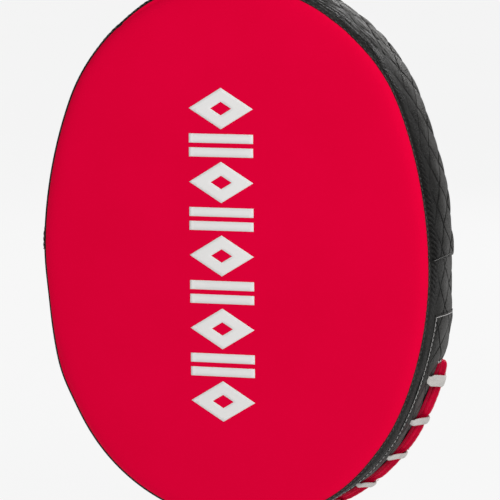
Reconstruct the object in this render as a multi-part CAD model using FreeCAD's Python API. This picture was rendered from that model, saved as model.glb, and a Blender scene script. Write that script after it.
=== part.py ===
"""Oval thai pad: a held striking cushion with a leather face, foam layers, a laced edge
roll, a rocking grip and two forearm straps with hook-and-loop tails.

Millimetres.  +Z runs up the forearm towards the fingers, -Y is the way the struck face
looks, +X is the right-hand side seen from in front.  The origin is on the outside of the
back panel, where the forearm rests.
"""
import os

import FreeCAD
import Part
from math import asin, atan2, cos, degrees, hypot, pi, radians, sin, sqrt, tan

V = FreeCAD.Vector
DEPTH_AXIS = V(0, -1, 0)        # turning about this takes +X to +Z

# ---- outline of the rim: side arcs and end arcs, all tangent ----
HALF_WIDTH = 119.5
UPPER_HEIGHT = 165.0
UPPER_END_RADIUS = 109.2
LOWER_HEIGHT = 154.0
LOWER_END_RADIUS = 109.5

# ---- depth of the padded body ----
RIM_Y = -50.0                   # seam between the red face and the black wall
FACE_Y = -56.0                  # flat middle of the crowned face
FLAT_INSET = 65.0               # the crown is flat this far inside the rim
ROLL_OFF_INSET = 12.0           # where the crown starts to roll over at the rim
ROLL_OFF_Y = -54.3
FACE_LEATHER = 1.5
BACK_LEATHER = 1.5
FRONT_FOAM_BACK = -34.0
CORE_FOAM_BACK = -20.0

# ---- black wall (gusset) ----
WALL_OUT = 2.3                  # how far the wall bulges beyond the rim outline
WALL_LEATHER = 1.2
CORNER_RADIUS = 5.0             # rear corner of the wall
CORNER_Y = -6.5
CORNER_OFF = WALL_OUT - CORNER_RADIUS
LAP_BOTTOM_Z = 4.7              # the upper wall piece lies over the lower one
LAP_TOP_Z = 14.7                # between these heights
HEEL_TOP_Z = -28.0
HEEL_FRONT_Y = -36.0
HEEL_LEATHER = 1.0

# ---- laced roll round the lower back edge ----
ROLL_TOP_Z = -58.5
ROLL_RADIUS = 3.4
ROLL_CORD_RADIUS = 2.3
ROLL_LEAN = 43.0                # degrees round the wall corner, from sideways to backwards
FLANGE_FRONT_Y = -10.0
FLANGE_LEAN = 23.0
FLANGE_LEATHER = 1.0
LACE_COUNT = 13
LACE_END_GAP = 12.9             # from the end of the roll to the first wrap
LACE_WIDTH = 5.5
LACE_THICK = 1.0
LACE_TILT = 11.0
WRAP_RADIUS = ROLL_RADIUS + 0.1     # inside of a wrap, a little clear of the curved roll
LACE_WALL_Y = -18.4
LACE_BACK_OFF = -9.0

# ---- white graphic on the face: diamond frames and pairs of bars ----
PRINT_CENTRE_X = -5.0
PRINT_WIDTH = 40.0
PRINT_TOP_Z = 105.0
PRINT_STROKE = 7.0
PRINT_DIAMOND = 24.4
PRINT_BAR = 5.4
PRINT_GAP = 2.8
PRINT_THICK = 0.4

# ---- forearm cushion on the back ----
CUSHION_HALF_WIDTH = 42.0
CUSHION_TOP_Z = 68.0
CUSHION_BOTTOM_Z = -112.0
CUSHION_THICK = 8.0
CUSHION_CORNER = 18.0
CUSHION_LEATHER = 1.2

# ---- grip ----
GRIP_Z = 100.0
GRIP_Y = 44.0
GRIP_RADIUS = 14.0
GRIP_HALF_LENGTH = 76.0
GRIP_LEATHER = 1.4
LOOP_IN_X = 50.0
LOOP_OUT_X = 72.0
LOOP_LEATHER = 2.2
GRIP_HINGE_Y = 5.2
TAB_IN_X = 46.0
TAB_OUT_X = 76.0
TAB_HALF_HEIGHT = 22.0
TAB_THICK = 2.4
RIVET_PITCH = 15.0
RIVET_HEAD_RADIUS = 4.5
RIVET_SHANK_RADIUS = 1.5

# ---- forearm straps: middle height, arch radius and arch top ----
STRAPS = {
    "upper": {"z": 30.0, "radius": 72.0, "top": 60.0},
    "lower": {"z": -62.0, "radius": 74.0, "top": 70.0},
}
STRAP_WIDTH = 44.0
WEB = 2.0                       # webbing thickness
WIRE = 1.75                     # radius of the ring wire
FREE = 0.3                      # room round the ring wire
RING_REACH = 15.0               # between the two long bars of a ring
RING_HALF_WIDTH = 26.0
FOOT_RADIUS = 8.0
FOOT_RUN = 17.0
KEEPER_WEB = 1.6
KEEPER_WIDTH = 40.0
KEEPER_RUN = 20.0
TAPE = 1.8                      # thickness of the hook tape and of the loop tape
TAIL_SWEEP = 78.0               # degrees of arch covered by the folded-back tail
PATCH_THICK = 1.4


# ---------------------------------------------------------------- outline and rings
def half_outline(height, end_radius):
    """Side radius, end-arc centre height and the angle where the two arcs meet."""
    centre = height - end_radius
    side = (HALF_WIDTH ** 2 + centre ** 2 - end_radius ** 2) / (2 * (HALF_WIDTH - end_radius))
    return side, centre, degrees(atan2(centre, side - HALF_WIDTH))


SIDE_U, CENTRE_U, MEET_U = half_outline(UPPER_HEIGHT, UPPER_END_RADIUS)
SIDE_L, CENTRE_L, MEET_L = half_outline(LOWER_HEIGHT, LOWER_END_RADIUS)

# each arc: centre x, centre z, radius, first angle, last angle (from +X towards +Z)
UPPER_ARCS = [
    (HALF_WIDTH - SIDE_U, 0.0, SIDE_U, 0.0, MEET_U),
    (0.0, CENTRE_U, UPPER_END_RADIUS, MEET_U, 180.0 - MEET_U),
    (SIDE_U - HALF_WIDTH, 0.0, SIDE_U, 180.0 - MEET_U, 180.0),
]
LOWER_ARCS = [
    (SIDE_L - HALF_WIDTH, 0.0, SIDE_L, 180.0, 180.0 + MEET_L),
    (0.0, -CENTRE_L, LOWER_END_RADIUS, 180.0 + MEET_L, 360.0 - MEET_L),
    (HALF_WIDTH - SIDE_L, 0.0, SIDE_L, 360.0 - MEET_L, 360.0),
]
ALL_ARCS = UPPER_ARCS + LOWER_ARCS


def on_arc(arc, off, y, angle):
    """Point at an outward offset from an outline arc."""
    cx, cz, radius = arc[:3]
    a = radians(angle)
    return V(cx + (radius + off) * cos(a), y, cz + (radius + off) * sin(a))


def plate(inset, y0, y1):
    """Slab of the outline, drawn in by `inset`, between two depths."""
    edges = []
    for arc in ALL_ARCS:
        a0, a1 = arc[3], arc[4]
        ends = [on_arc(arc, -inset, y0, a) for a in (a0, (a0 + a1) / 2, a1)]
        edges.append(Part.Arc(*ends).toShape())
    return Part.Face(Part.Wire(edges)).extrude(V(0, y1 - y0, 0))


def section_face(section, place):
    """Face from (off, y) corners; a corner (off, y, via_off, via_y) is reached by an arc."""
    corners = [place(c[0], c[1]) for c in section]
    edges = []
    for i, corner in enumerate(section):
        start = corners[i - 1]
        if len(corner) == 4:
            edges.append(Part.Arc(start, place(corner[2], corner[3]), corners[i]).toShape())
        else:
            edges.append(Part.makeLine(start, corners[i]))
    return Part.Face(Part.Wire(edges))


def ring(section, arcs):
    """A section carried round some of the outline's arcs."""
    parts = []
    for arc in arcs:
        face = section_face(section, lambda off, y: on_arc(arc, off, y, arc[3]))
        parts.append(face.revolve(V(arc[0], 0, arc[1]), DEPTH_AXIS, arc[4] - arc[3]))
    return join(parts)


def join(parts):
    """One solid from touching solids."""
    shape = parts[0]
    if len(parts) > 1:
        shape = parts[0].multiFuse(parts[1:])
    return single(shape.removeSplitter())


def single(shape):
    """The solid inside a one-solid compound."""
    return shape.Solids[0] if len(shape.Solids) == 1 else shape


def group(parts):
    return Part.makeCompound(parts)


def box(x0, x1, y0, y1, z0, z1):
    return Part.makeBox(x1 - x0, y1 - y0, z1 - z0, V(x0, y0, z0))


def rounded_plate(x0, x1, y0, y1, z0, z1, corner):
    """Plate in the XZ plane with rounded corners."""
    solid = box(x0, x1, y0, y1, z0, z1)
    upright = [e for e in solid.Edges if abs(e.Length - (y1 - y0)) < 1e-6
               and abs(e.Vertexes[0].Z - e.Vertexes[1].Z) < 1e-6
               and abs(e.Vertexes[0].X - e.Vertexes[1].X) < 1e-6]
    return solid.makeFillet(corner, upright)


def below_z(arcs, z):
    """The lower arcs, trimmed so they start and end at the height z on the two sides."""
    angle = degrees(asin(-z / SIDE_L))
    left, end, right = arcs
    return [left[:3] + (180.0 + angle, left[4]), end, right[:3] + (right[3], 360.0 - angle)]


# ---------------------------------------------------------------- padded body
def crown(drop):
    """Front curve of the face, moved in by `drop`, from the flat middle to the rim."""
    return [
        (-FLAT_INSET, FACE_Y + drop),
        (-ROLL_OFF_INSET, ROLL_OFF_Y + drop, -38.0, FACE_Y + drop + 0.47),
        (-drop, RIM_Y, -3.6 - 0.75 * drop, -53.1 + 0.75 * drop),
    ]


def face_cover():
    inner = crown(FACE_LEATHER)
    back_to_rim = [(inner[2][0], RIM_Y)]
    back_to_rim.append((inner[1][0], inner[1][1], inner[2][2], inner[2][3]))
    back_to_rim.append((inner[0][0], inner[0][1], inner[1][2], inner[1][3]))
    shell = ring(crown(0.0) + back_to_rim, ALL_ARCS)
    middle = plate(FLAT_INSET, FACE_Y, FACE_Y + FACE_LEATHER)
    return join([shell, middle]).cut(face_print())


def print_diamond(z):
    """Diamond frame as wide as the graphic, centred at height z."""
    def rhombus(half_x, half_z):
        corners = [V(PRINT_CENTRE_X + sx * half_x, FACE_Y, z + sz * half_z)
                   for sx, sz in ((1, 0), (0, 1), (-1, 0), (0, -1), (1, 0))]
        return Part.Face(Part.makePolygon(corners)).extrude(V(0, PRINT_THICK, 0))
    half_x, half_z = PRINT_WIDTH / 2, PRINT_DIAMOND / 2
    shrink = 1 - PRINT_STROKE * hypot(half_x, half_z) / (half_x * half_z)
    return rhombus(half_x, half_z).cut(rhombus(half_x * shrink, half_z * shrink))


def print_bar(z):
    half = PRINT_WIDTH / 2
    return box(PRINT_CENTRE_X - half, PRINT_CENTRE_X + half, FACE_Y, FACE_Y + PRINT_THICK,
               z - PRINT_BAR / 2, z + PRINT_BAR / 2)


def face_print():
    """Column of five diamond frames with two bars between neighbours."""
    marks = []
    z = PRINT_TOP_Z
    for i in range(5):
        marks.append(print_diamond(z - PRINT_DIAMOND / 2))
        z -= PRINT_DIAMOND + PRINT_GAP
        if i < 4:
            for _ in range(2):
                marks.append(print_bar(z - PRINT_BAR / 2))
                z -= PRINT_BAR + PRINT_GAP
    return group(marks)


def foam_front():
    edge = WALL_OUT - WALL_LEATHER
    section = crown(FACE_LEATHER) + [
        (edge, -44.0), (edge, FRONT_FOAM_BACK), (-FLAT_INSET, FRONT_FOAM_BACK)]
    middle = plate(FLAT_INSET, FACE_Y + FACE_LEATHER, FRONT_FOAM_BACK)
    return join([ring(section, ALL_ARCS), middle])


def foam_core():
    return plate(WALL_LEATHER - WALL_OUT, FRONT_FOAM_BACK, CORE_FOAM_BACK)


def foam_back():
    """Rear layer, bevelled all round so the lace has room behind the wall."""
    section = [(-40.0, CORE_FOAM_BACK), (-2.8, CORE_FOAM_BACK), (-14.0, -BACK_LEATHER),
               (-40.0, -BACK_LEATHER)]
    layer = join([ring(section, ALL_ARCS), plate(40.0, CORE_FOAM_BACK, -BACK_LEATHER)])
    pockets = [Part.makeCylinder(4.6, 2.5, V(x, -BACK_LEATHER, z), DEPTH_AXIS)
               for x, z in rivet_spots()]
    return single(layer.cut(group(pockets)))


def back_cover():
    panel = plate(1.2, -BACK_LEATHER, 0.0)
    holes = [Part.makeCylinder(RIVET_SHANK_RADIUS, 4.0, V(x, 1, z), DEPTH_AXIS)
             for x, z in rivet_spots()]
    return single(panel.cut(group(holes)).cut(lace()))


# ---------------------------------------------------------------- wall
def wall_section(shift):
    """Bulged wall with a rounded rear corner, moved outwards by `shift`."""
    out, mid = WALL_OUT + shift, WALL_OUT - WALL_LEATHER + shift
    r_out, r_in = CORNER_RADIUS + shift, CORNER_RADIUS - WALL_LEATHER + shift
    diag = sqrt(0.5)
    return [
        (0.0 + shift, RIM_Y),
        (out, -44.0, 1.25 + shift, -47.4),
        (out, CORNER_Y),
        (CORNER_OFF, CORNER_Y + r_out, CORNER_OFF + r_out * diag, CORNER_Y + r_out * diag),
        (CORNER_OFF, CORNER_Y + r_in),
        (mid, CORNER_Y, CORNER_OFF + r_in * diag, CORNER_Y + r_in * diag),
        (mid, -44.0),
        (shift - WALL_LEATHER, RIM_Y, 0.05 + shift, -47.2),
    ]


def side_angle(z):
    """Angle on the upper side arcs at the height z."""
    return degrees(asin(z / SIDE_U))


def lap_arcs(low, high):
    """The upper side arcs near the join of the two wall pieces, between two heights."""
    a, b = side_angle(low), side_angle(high)
    right, _, left = UPPER_ARCS
    return right[:3] + (a, b), left[:3] + (180.0 - b, 180.0 - a)


def lap_section(inner, outer, y_end):
    return [(inner, -44.0), (outer, -44.0), (outer, y_end), (inner, y_end)]


def gusset_upper():
    """Upper wall piece; its two ends lie over the ends of the lower piece."""
    angle = side_angle(LAP_TOP_Z)
    right, end, left = UPPER_ARCS
    arcs = [right[:3] + (angle, right[4]), end, left[:3] + (left[3], 180.0 - angle)]
    parts = [ring(wall_section(0.0), arcs)]
    step = lap_section(WALL_OUT, WALL_OUT + WALL_LEATHER, CORNER_Y)
    for arc in lap_arcs(LAP_BOTTOM_Z, LAP_TOP_Z + 2.5):
        parts.append(ring(step, [arc]))
    return join(parts)


def gusset_lower():
    """Lower wall piece, running up under the ends of the upper piece."""
    parts = [ring(wall_section(0.0), LOWER_ARCS)]
    for arc in lap_arcs(0.0, LAP_TOP_Z):
        parts.append(ring(wall_section(0.0), [arc]))
    return single(join(parts).cut(lace()))


def corner_point(radius, lean):
    """Point round the rear corner of the wall, `lean` degrees from sideways."""
    a = radians(lean)
    return CORNER_OFF + radius * cos(a), CORNER_Y + radius * sin(a)


def corner_layer(inner, outer, front_y, lean):
    """Section of a layer on the wall that also bends part-way round the rear corner."""
    r_in, r_out = CORNER_RADIUS + inner, CORNER_RADIUS + outer
    return [
        (WALL_OUT + inner, front_y),
        (WALL_OUT + outer, front_y),
        (WALL_OUT + outer, CORNER_Y),
        corner_point(r_out, lean) + corner_point(r_out, lean / 2),
        corner_point(r_in, lean),
        (WALL_OUT + inner, CORNER_Y) + corner_point(r_in, lean / 2),
    ]


def heel_panel():
    section = corner_layer(0.0, HEEL_LEATHER, HEEL_FRONT_Y, 60.0)
    return single(ring(section, below_z(LOWER_ARCS, HEEL_TOP_Z)).cut(lace()))


# ---------------------------------------------------------------- laced roll
ROLL_CENTRE = corner_point(CORNER_RADIUS + HEEL_LEATHER + ROLL_RADIUS, ROLL_LEAN)
ROLL_ARCS = below_z(LOWER_ARCS, ROLL_TOP_Z)


def round_section(radius):
    off, y = ROLL_CENTRE
    return [(off + radius, y, off, y - radius), (off - radius, y, off, y + radius)]


def edge_roll():
    """Leather tube over the filler cord."""
    return single(ring(round_section(ROLL_RADIUS), ROLL_ARCS).cut(edge_roll_cord()))


def edge_roll_cord():
    return ring(round_section(ROLL_CORD_RADIUS), ROLL_ARCS)


def edge_flange():
    section = corner_layer(HEEL_LEATHER, HEEL_LEATHER + FLANGE_LEATHER, FLANGE_FRONT_Y, FLANGE_LEAN)
    return single(ring(section, ROLL_ARCS).cut(lace()))


def roll_station(distance):
    """Arc and angle at a distance along the roll, measured on the wall."""
    for arc in ROLL_ARCS:
        radius = arc[2] + WALL_OUT
        length = radius * radians(arc[4] - arc[3])
        if distance <= length:
            return arc, arc[3] + degrees(distance / radius)
        distance -= length
    return ROLL_ARCS[-1], ROLL_ARCS[-1][4]


def roll_length():
    return sum((a[2] + WALL_OUT) * radians(a[4] - a[3]) for a in ROLL_ARCS)


def tangent_point(point, radius, side):
    """Where a line from `point` touches a circle round the roll's centre."""
    du, dv = point[0] - ROLL_CENTRE[0], point[1] - ROLL_CENTRE[1]
    reach = hypot(du, dv)
    turn = atan2(dv, du) + side * (pi / 2 - asin(radius / reach))
    return ROLL_CENTRE[0] + radius * cos(turn), ROLL_CENTRE[1] + radius * sin(turn)


def wrap_section():
    """One wrap of the lace: out of the wall, round the roll, in through the back panel."""
    wall, back, t = LACE_WALL_Y, LACE_BACK_OFF, LACE_THICK
    low = WALL_OUT + HEEL_LEATHER + FLANGE_LEATHER
    in_a = tangent_point((low, wall), WRAP_RADIUS, 1)
    in_b = tangent_point((back, 0.0), WRAP_RADIUS, -1)
    out_a = tangent_point((low + t, wall - t), WRAP_RADIUS + t, 1)
    out_b = tangent_point((back - t, t), WRAP_RADIUS + t, -1)
    far = radians(ROLL_LEAN)
    mid_in = (ROLL_CENTRE[0] + WRAP_RADIUS * cos(far), ROLL_CENTRE[1] + WRAP_RADIUS * sin(far))
    mid_out = (ROLL_CENTRE[0] + (WRAP_RADIUS + t) * cos(far),
               ROLL_CENTRE[1] + (WRAP_RADIUS + t) * sin(far))
    return [
        (low, wall), in_a, in_b + mid_in, (back, 0.0), (back, -4.0), (back - t, -4.0),
        (back - t, t), out_b, out_a + mid_out, (low + t, wall - t), (-0.6, wall - t),
        (-0.6, wall),
    ]


def lace_wrap(arc, angle):
    """Slanted wrap at one station, and where it ends behind the wall and the panel."""
    a = radians(angle)
    outward = V(cos(a), 0, sin(a))
    along = V(-sin(a), 0, cos(a))
    centre = on_arc(arc, ROLL_CENTRE[0], ROLL_CENTRE[1], angle)
    half = along * (LACE_WIDTH * 3)
    face = section_face(wrap_section(), lambda off, y: on_arc(arc, off, y, angle) - half)
    band_normal = FreeCAD.Rotation(outward, LACE_TILT).multVec(along)
    slab = Part.makeBox(80, 80, LACE_WIDTH, V(-40, -40, -LACE_WIDTH / 2))
    slab.Placement = FreeCAD.Placement(centre, FreeCAD.Rotation(outward, V(), band_normal, "ZXY"))
    solid = single(face.extrude(half * 2).common(slab))

    def end(off, y):
        return on_arc(arc, off, y, angle) + along * ((y - centre.y) * tan(radians(LACE_TILT)))
    wall_end = end(0.0, LACE_WALL_Y - LACE_THICK / 2)
    back_end = end(LACE_BACK_OFF - LACE_THICK / 2, -3.2)
    return solid, wall_end, back_end


def lace():
    """The whole lace: wraps round the roll joined by runs behind the wall."""
    span = roll_length() - 2 * LACE_END_GAP
    parts = []
    previous = None
    for i in range(LACE_COUNT):
        arc, angle = roll_station(LACE_END_GAP + span * i / (LACE_COUNT - 1))
        solid, wall_end, back_end = lace_wrap(arc, angle)
        parts.append(solid)
        if previous:
            run = wall_end - previous
            parts.append(Part.makeCylinder(0.9, run.Length, previous, run))
        previous = back_end
    return join(parts)


# ---------------------------------------------------------------- forearm cushion
def cushion(shrink):
    """Cushion body, smaller all round by `shrink`."""
    solid = rounded_plate(-CUSHION_HALF_WIDTH + shrink, CUSHION_HALF_WIDTH - shrink,
                          shrink * 0.5, CUSHION_THICK - shrink,
                          CUSHION_BOTTOM_Z + shrink, CUSHION_TOP_Z - shrink,
                          CUSHION_CORNER - shrink)
    top = [e for e in solid.Edges
           if all(abs(v.Y - (CUSHION_THICK - shrink)) < 1e-6 for v in e.Vertexes)]
    return solid.makeFillet(4.0 - shrink, top)


def cushion_foam():
    return cushion(CUSHION_LEATHER)


def cushion_cover():
    return single(cushion(0.0).cut(cushion_foam()))


# ---------------------------------------------------------------- grip
def grip_bar(radius, half_length, edge):
    bar = Part.makeCylinder(radius, 2 * half_length, V(-half_length, GRIP_Y, GRIP_Z), V(1, 0, 0))
    rims = [e for e in bar.Edges if abs(e.Length - 2 * pi * radius) < 1e-3]
    return bar.makeFillet(edge, rims)


def grip_core():
    return grip_bar(GRIP_RADIUS - GRIP_LEATHER, GRIP_HALF_LENGTH - GRIP_LEATHER, 2.0)


def grip_cover():
    return single(grip_bar(GRIP_RADIUS, GRIP_HALF_LENGTH, 3.4).cut(grip_core()))


def grip_loop(side):
    """Doubled leather sling: round the bar and down to a rounded root over the tab."""
    x0 = LOOP_IN_X if side > 0 else -LOOP_OUT_X
    width = LOOP_OUT_X - LOOP_IN_X

    def rod(radius, y):
        return Part.makeCylinder(radius, width, V(x0, y, GRIP_Z), V(1, 0, 0))
    neck = box(x0, x0 + width, GRIP_HINGE_Y, GRIP_Y - GRIP_RADIUS,
               GRIP_Z - LOOP_LEATHER, GRIP_Z + LOOP_LEATHER)
    sling = rod(GRIP_RADIUS + LOOP_LEATHER, GRIP_Y)
    return single(join([sling, neck, rod(LOOP_LEATHER, GRIP_HINGE_Y)]).cut(rod(GRIP_RADIUS, GRIP_Y)))


def grip_tab(side):
    x0, x1 = (TAB_IN_X, TAB_OUT_X) if side > 0 else (-TAB_OUT_X, -TAB_IN_X)
    tab = rounded_plate(x0, x1, 0.0, TAB_THICK,
                        GRIP_Z - TAB_HALF_HEIGHT, GRIP_Z + TAB_HALF_HEIGHT, 6.0)
    holes = [Part.makeCylinder(RIVET_SHANK_RADIUS, 4.0, V(x, 3, z), DEPTH_AXIS)
             for x, z in rivet_spots()]
    return single(tab.cut(group(holes)))


def rivet_spots():
    middle = (TAB_IN_X + TAB_OUT_X) / 2
    return [(x, z) for x in (-middle, middle) for z in (GRIP_Z - RIVET_PITCH, GRIP_Z + RIVET_PITCH)]


def rivet(x, z):
    """Domed head on the tab, shank through the panel, spread end behind the washer."""
    base = V(x, TAB_THICK, z)
    dome = 1.6
    ball = (RIVET_HEAD_RADIUS ** 2 + dome ** 2) / (2 * dome)
    head = Part.makeSphere(ball, V(x, TAB_THICK + dome - ball, z)).common(
        Part.makeCylinder(RIVET_HEAD_RADIUS, dome, base, V(0, 1, 0)))
    shank = Part.makeCylinder(RIVET_SHANK_RADIUS, 5.6, V(x, TAB_THICK + 0.2, z), DEPTH_AXIS)
    spread = Part.makeCylinder(2.2, 0.6, V(x, -BACK_LEATHER - 1.1, z), DEPTH_AXIS)
    return join([head, shank, spread])


def rivets():
    return group([rivet(x, z) for x, z in rivet_spots()])


def rivet_washers():
    washers = []
    for x, z in rivet_spots():
        disc = Part.makeCylinder(4.0, 1.1, V(x, -BACK_LEATHER, z), DEPTH_AXIS)
        bore = Part.makeCylinder(RIVET_SHANK_RADIUS, 1.1, V(x, -BACK_LEATHER, z), DEPTH_AXIS)
        washers.append(disc.cut(bore))
    return group(washers)


# ---------------------------------------------------------------- straps
KEEPER_BAR_Y = WIRE + FREE + KEEPER_WEB + 0.05
LAYER = WIRE + FREE + WEB / 2   # from the middle of the ring bar to the middle of the webbing


def strap_frame(which):
    """Arch centre height, angle of the ring bar, and the x, y of the two ring bars."""
    radius = STRAPS[which]["radius"]
    centre = STRAPS[which]["top"] - radius
    rise = (asin((KEEPER_BAR_Y - centre) / hypot(radius, RING_REACH))
            + atan2(RING_REACH, radius))
    bar = (-radius * cos(rise), centre + radius * sin(rise))
    keeper = (bar[0] - RING_REACH * sin(rise), bar[1] - RING_REACH * cos(rise))
    return centre, 180.0 - degrees(rise), bar, keeper


def band(cx, cy, r0, r1, a0, a1, z, width):
    """Curved strip between two radii and two angles in the XY plane, centred at height z."""
    def at(r, a):
        return V(cx + r * cos(radians(a)), cy + r * sin(radians(a)), z - width / 2)
    mid = (a0 + a1) / 2
    edges = [Part.Arc(at(r1, a0), at(r1, mid), at(r1, a1)).toShape(),
             Part.makeLine(at(r1, a1), at(r0, a1)),
             Part.Arc(at(r0, a1), at(r0, mid), at(r0, a0)).toShape(),
             Part.makeLine(at(r0, a0), at(r1, a0))]
    return Part.Face(Part.Wire(edges)).extrude(V(0, 0, width))


def foot_x(which):
    """Where the strap leaves the back panel."""
    centre = strap_frame(which)[0]
    run = STRAPS[which]["radius"] - LAYER
    return sqrt((run + FOOT_RADIUS) ** 2 - (centre - WEB / 2 - FOOT_RADIUS) ** 2)


def strap_body(which):
    """Sewn run on the panel, a bend up, and the arch as far as the ring."""
    z = STRAPS[which]["z"]
    centre, bar_angle, _, _ = strap_frame(which)
    r = STRAPS[which]["radius"] - LAYER
    x = foot_x(which)
    lean = degrees(atan2(WEB / 2 + FOOT_RADIUS - centre, x))
    end = bar_angle - degrees(4.6 / r)
    flat = box(x, x + FOOT_RUN, 0.0, WEB, z - STRAP_WIDTH / 2, z + STRAP_WIDTH / 2)
    bend = band(x, WEB / 2 + FOOT_RADIUS, FOOT_RADIUS - WEB / 2, FOOT_RADIUS + WEB / 2,
                180.0 + lean, 270.0, z, STRAP_WIDTH)
    arch = band(0.0, centre, r - WEB / 2, r + WEB / 2, lean, end, z, STRAP_WIDTH)
    return join([flat, bend, arch])


def tail_limits(which):
    """First and last angle of the hook tape and of the tail on the arch."""
    bar_angle = strap_frame(which)[1]
    return bar_angle - 7.0, bar_angle - TAIL_SWEEP


def strap_tail(which):
    """Fold round the ring bar, then the layer lying back over the arch."""
    z = STRAPS[which]["z"]
    centre, bar_angle, bar, _ = strap_frame(which)
    r = STRAPS[which]["radius"] + LAYER
    fold = band(bar[0], bar[1], LAYER - WEB / 2, LAYER + WEB / 2,
                bar_angle, bar_angle + 180.0, z, STRAP_WIDTH)
    over = band(0.0, centre, r - WEB / 2, r + WEB / 2,
                tail_limits(which)[1], bar_angle, z, STRAP_WIDTH)
    return join([fold, over])


def hook_tape(which):
    centre = strap_frame(which)[0]
    r = STRAPS[which]["radius"] + LAYER - WEB / 2
    first, last = tail_limits(which)
    return band(0.0, centre, r - TAPE, r, last + 2.0, first, STRAPS[which]["z"], STRAP_WIDTH - 4)


def loop_tape(which):
    centre = strap_frame(which)[0]
    r = STRAPS[which]["radius"] - LAYER + WEB / 2
    first, last = tail_limits(which)
    return band(0.0, centre, r, r + TAPE, last - 20.0, first, STRAPS[which]["z"], STRAP_WIDTH - 4)


def ring_wire(which):
    """Rectangular wire ring: keeper bar, strap bar and two short sides."""
    z = STRAPS[which]["z"]
    _, _, bar, keeper = strap_frame(which)
    low, high = z - RING_HALF_WIDTH, z + RING_HALF_WIDTH
    corners = [V(bar[0], bar[1], low), V(bar[0], bar[1], high),
               V(keeper[0], keeper[1], high), V(keeper[0], keeper[1], low)]
    parts = []
    for i, start in enumerate(corners):
        run = corners[(i + 1) % 4] - start
        parts.append(Part.makeCylinder(WIRE, run.Length, start, run))
        parts.append(Part.makeSphere(WIRE, start))
    return join(parts)


def ring_keeper(which):
    """Webbing doubled round the keeper bar and sewn down beside it."""
    z = STRAPS[which]["z"]
    x, y = strap_frame(which)[3]
    low = z - KEEPER_WIDTH / 2

    def rod(radius):
        return Part.makeCylinder(radius, KEEPER_WIDTH, V(x, y, low), V(0, 0, 1))
    tail = box(x - KEEPER_RUN, x - 2.6, 0.0, 2 * KEEPER_WEB, low, low + KEEPER_WIDTH)
    loop = join([rod(WIRE + FREE + KEEPER_WEB), tail])
    return single(loop.cut(rod(WIRE + FREE)))


def strap_patch(which):
    """Leather patch over the sewn end of a strap."""
    z = STRAPS[which]["z"]
    x = foot_x(which)
    return rounded_plate(x + 2.0, x + FOOT_RUN, WEB, WEB + PATCH_THICK,
                         z - STRAP_WIDTH / 2 - 2, z + STRAP_WIDTH / 2 + 2, 4.0)


# ---------------------------------------------------------------- write the parts
def all_parts():
    parts = {
        "face_cover": face_cover(),
        "face_print": face_print(),
        "foam_front": foam_front(),
        "foam_core": foam_core(),
        "foam_back": foam_back(),
        "back_cover": back_cover(),
        "gusset_upper": gusset_upper(),
        "gusset_lower": gusset_lower(),
        "heel_panel": heel_panel(),
        "edge_roll": edge_roll(),
        "edge_roll_cord": edge_roll_cord(),
        "edge_flange": edge_flange(),
        "lace": lace(),
        "cushion_cover": cushion_cover(),
        "cushion_foam": cushion_foam(),
        "grip_core": grip_core(),
        "grip_cover": grip_cover(),
        "grip_loop_left": grip_loop(-1),
        "grip_loop_right": grip_loop(1),
        "grip_tab_left": grip_tab(-1),
        "grip_tab_right": grip_tab(1),
        "rivets": rivets(),
        "rivet_washers": rivet_washers(),
    }
    for which in STRAPS:
        parts["strap_%s_body" % which] = strap_body(which)
        parts["strap_%s_tail" % which] = strap_tail(which)
        parts["strap_%s_hook_tape" % which] = hook_tape(which)
        parts["strap_%s_loop_tape" % which] = loop_tape(which)
        parts["strap_%s_ring" % which] = ring_wire(which)
        parts["strap_%s_keeper" % which] = ring_keeper(which)
        parts["strap_%s_patch" % which] = strap_patch(which)
    return parts


os.makedirs("parts", exist_ok=True)
for name, shape in all_parts().items():
    shape.exportStep("parts/%s.step" % name)
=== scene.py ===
"""Looks of the oval thai pad: leather face and wall, laced roll, cushion, grip and straps.

Sizes are in millimetres and become metres by SCALE. Only the lights are written in metres.
"""
import math
import random

import bmesh
import bpy
import numpy as np
from mathutils import Matrix, Vector, noise
from mathutils.bvhtree import BVHTree


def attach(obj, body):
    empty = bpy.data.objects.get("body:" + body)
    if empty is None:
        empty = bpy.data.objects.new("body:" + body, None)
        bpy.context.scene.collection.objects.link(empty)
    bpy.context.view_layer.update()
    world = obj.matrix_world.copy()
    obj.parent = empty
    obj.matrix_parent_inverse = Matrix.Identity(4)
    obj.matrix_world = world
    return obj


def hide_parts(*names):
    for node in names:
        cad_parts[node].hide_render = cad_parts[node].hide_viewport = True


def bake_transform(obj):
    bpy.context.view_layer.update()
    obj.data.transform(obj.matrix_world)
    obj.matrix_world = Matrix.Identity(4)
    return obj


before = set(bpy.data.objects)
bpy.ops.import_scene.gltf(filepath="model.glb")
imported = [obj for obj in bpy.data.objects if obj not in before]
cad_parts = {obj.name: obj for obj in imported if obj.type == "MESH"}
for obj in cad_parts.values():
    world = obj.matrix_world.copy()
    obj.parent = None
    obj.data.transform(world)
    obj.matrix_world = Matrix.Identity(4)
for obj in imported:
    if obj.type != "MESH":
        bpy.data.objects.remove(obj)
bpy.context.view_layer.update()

SCALE = 0.001
PI = math.pi
BACKWARD = (0.0, 1.0, 0.0)

# ---------------------------------------------------------------- outline of the rim
HALF_WIDTH = 119.5
UPPER_HEIGHT, UPPER_END = 165.0, 109.2      # height above z = 0 and radius of the end arc
LOWER_HEIGHT, LOWER_END = 154.0, 109.5
RIM_Y = -50.0
WALL_OUT = 2.3                              # how far the wall stands outside the rim
CORNER_R, CORNER_Y = 5.0, -6.5              # rear corner of the wall
CORNER_OFF = WALL_OUT - CORNER_R


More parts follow.
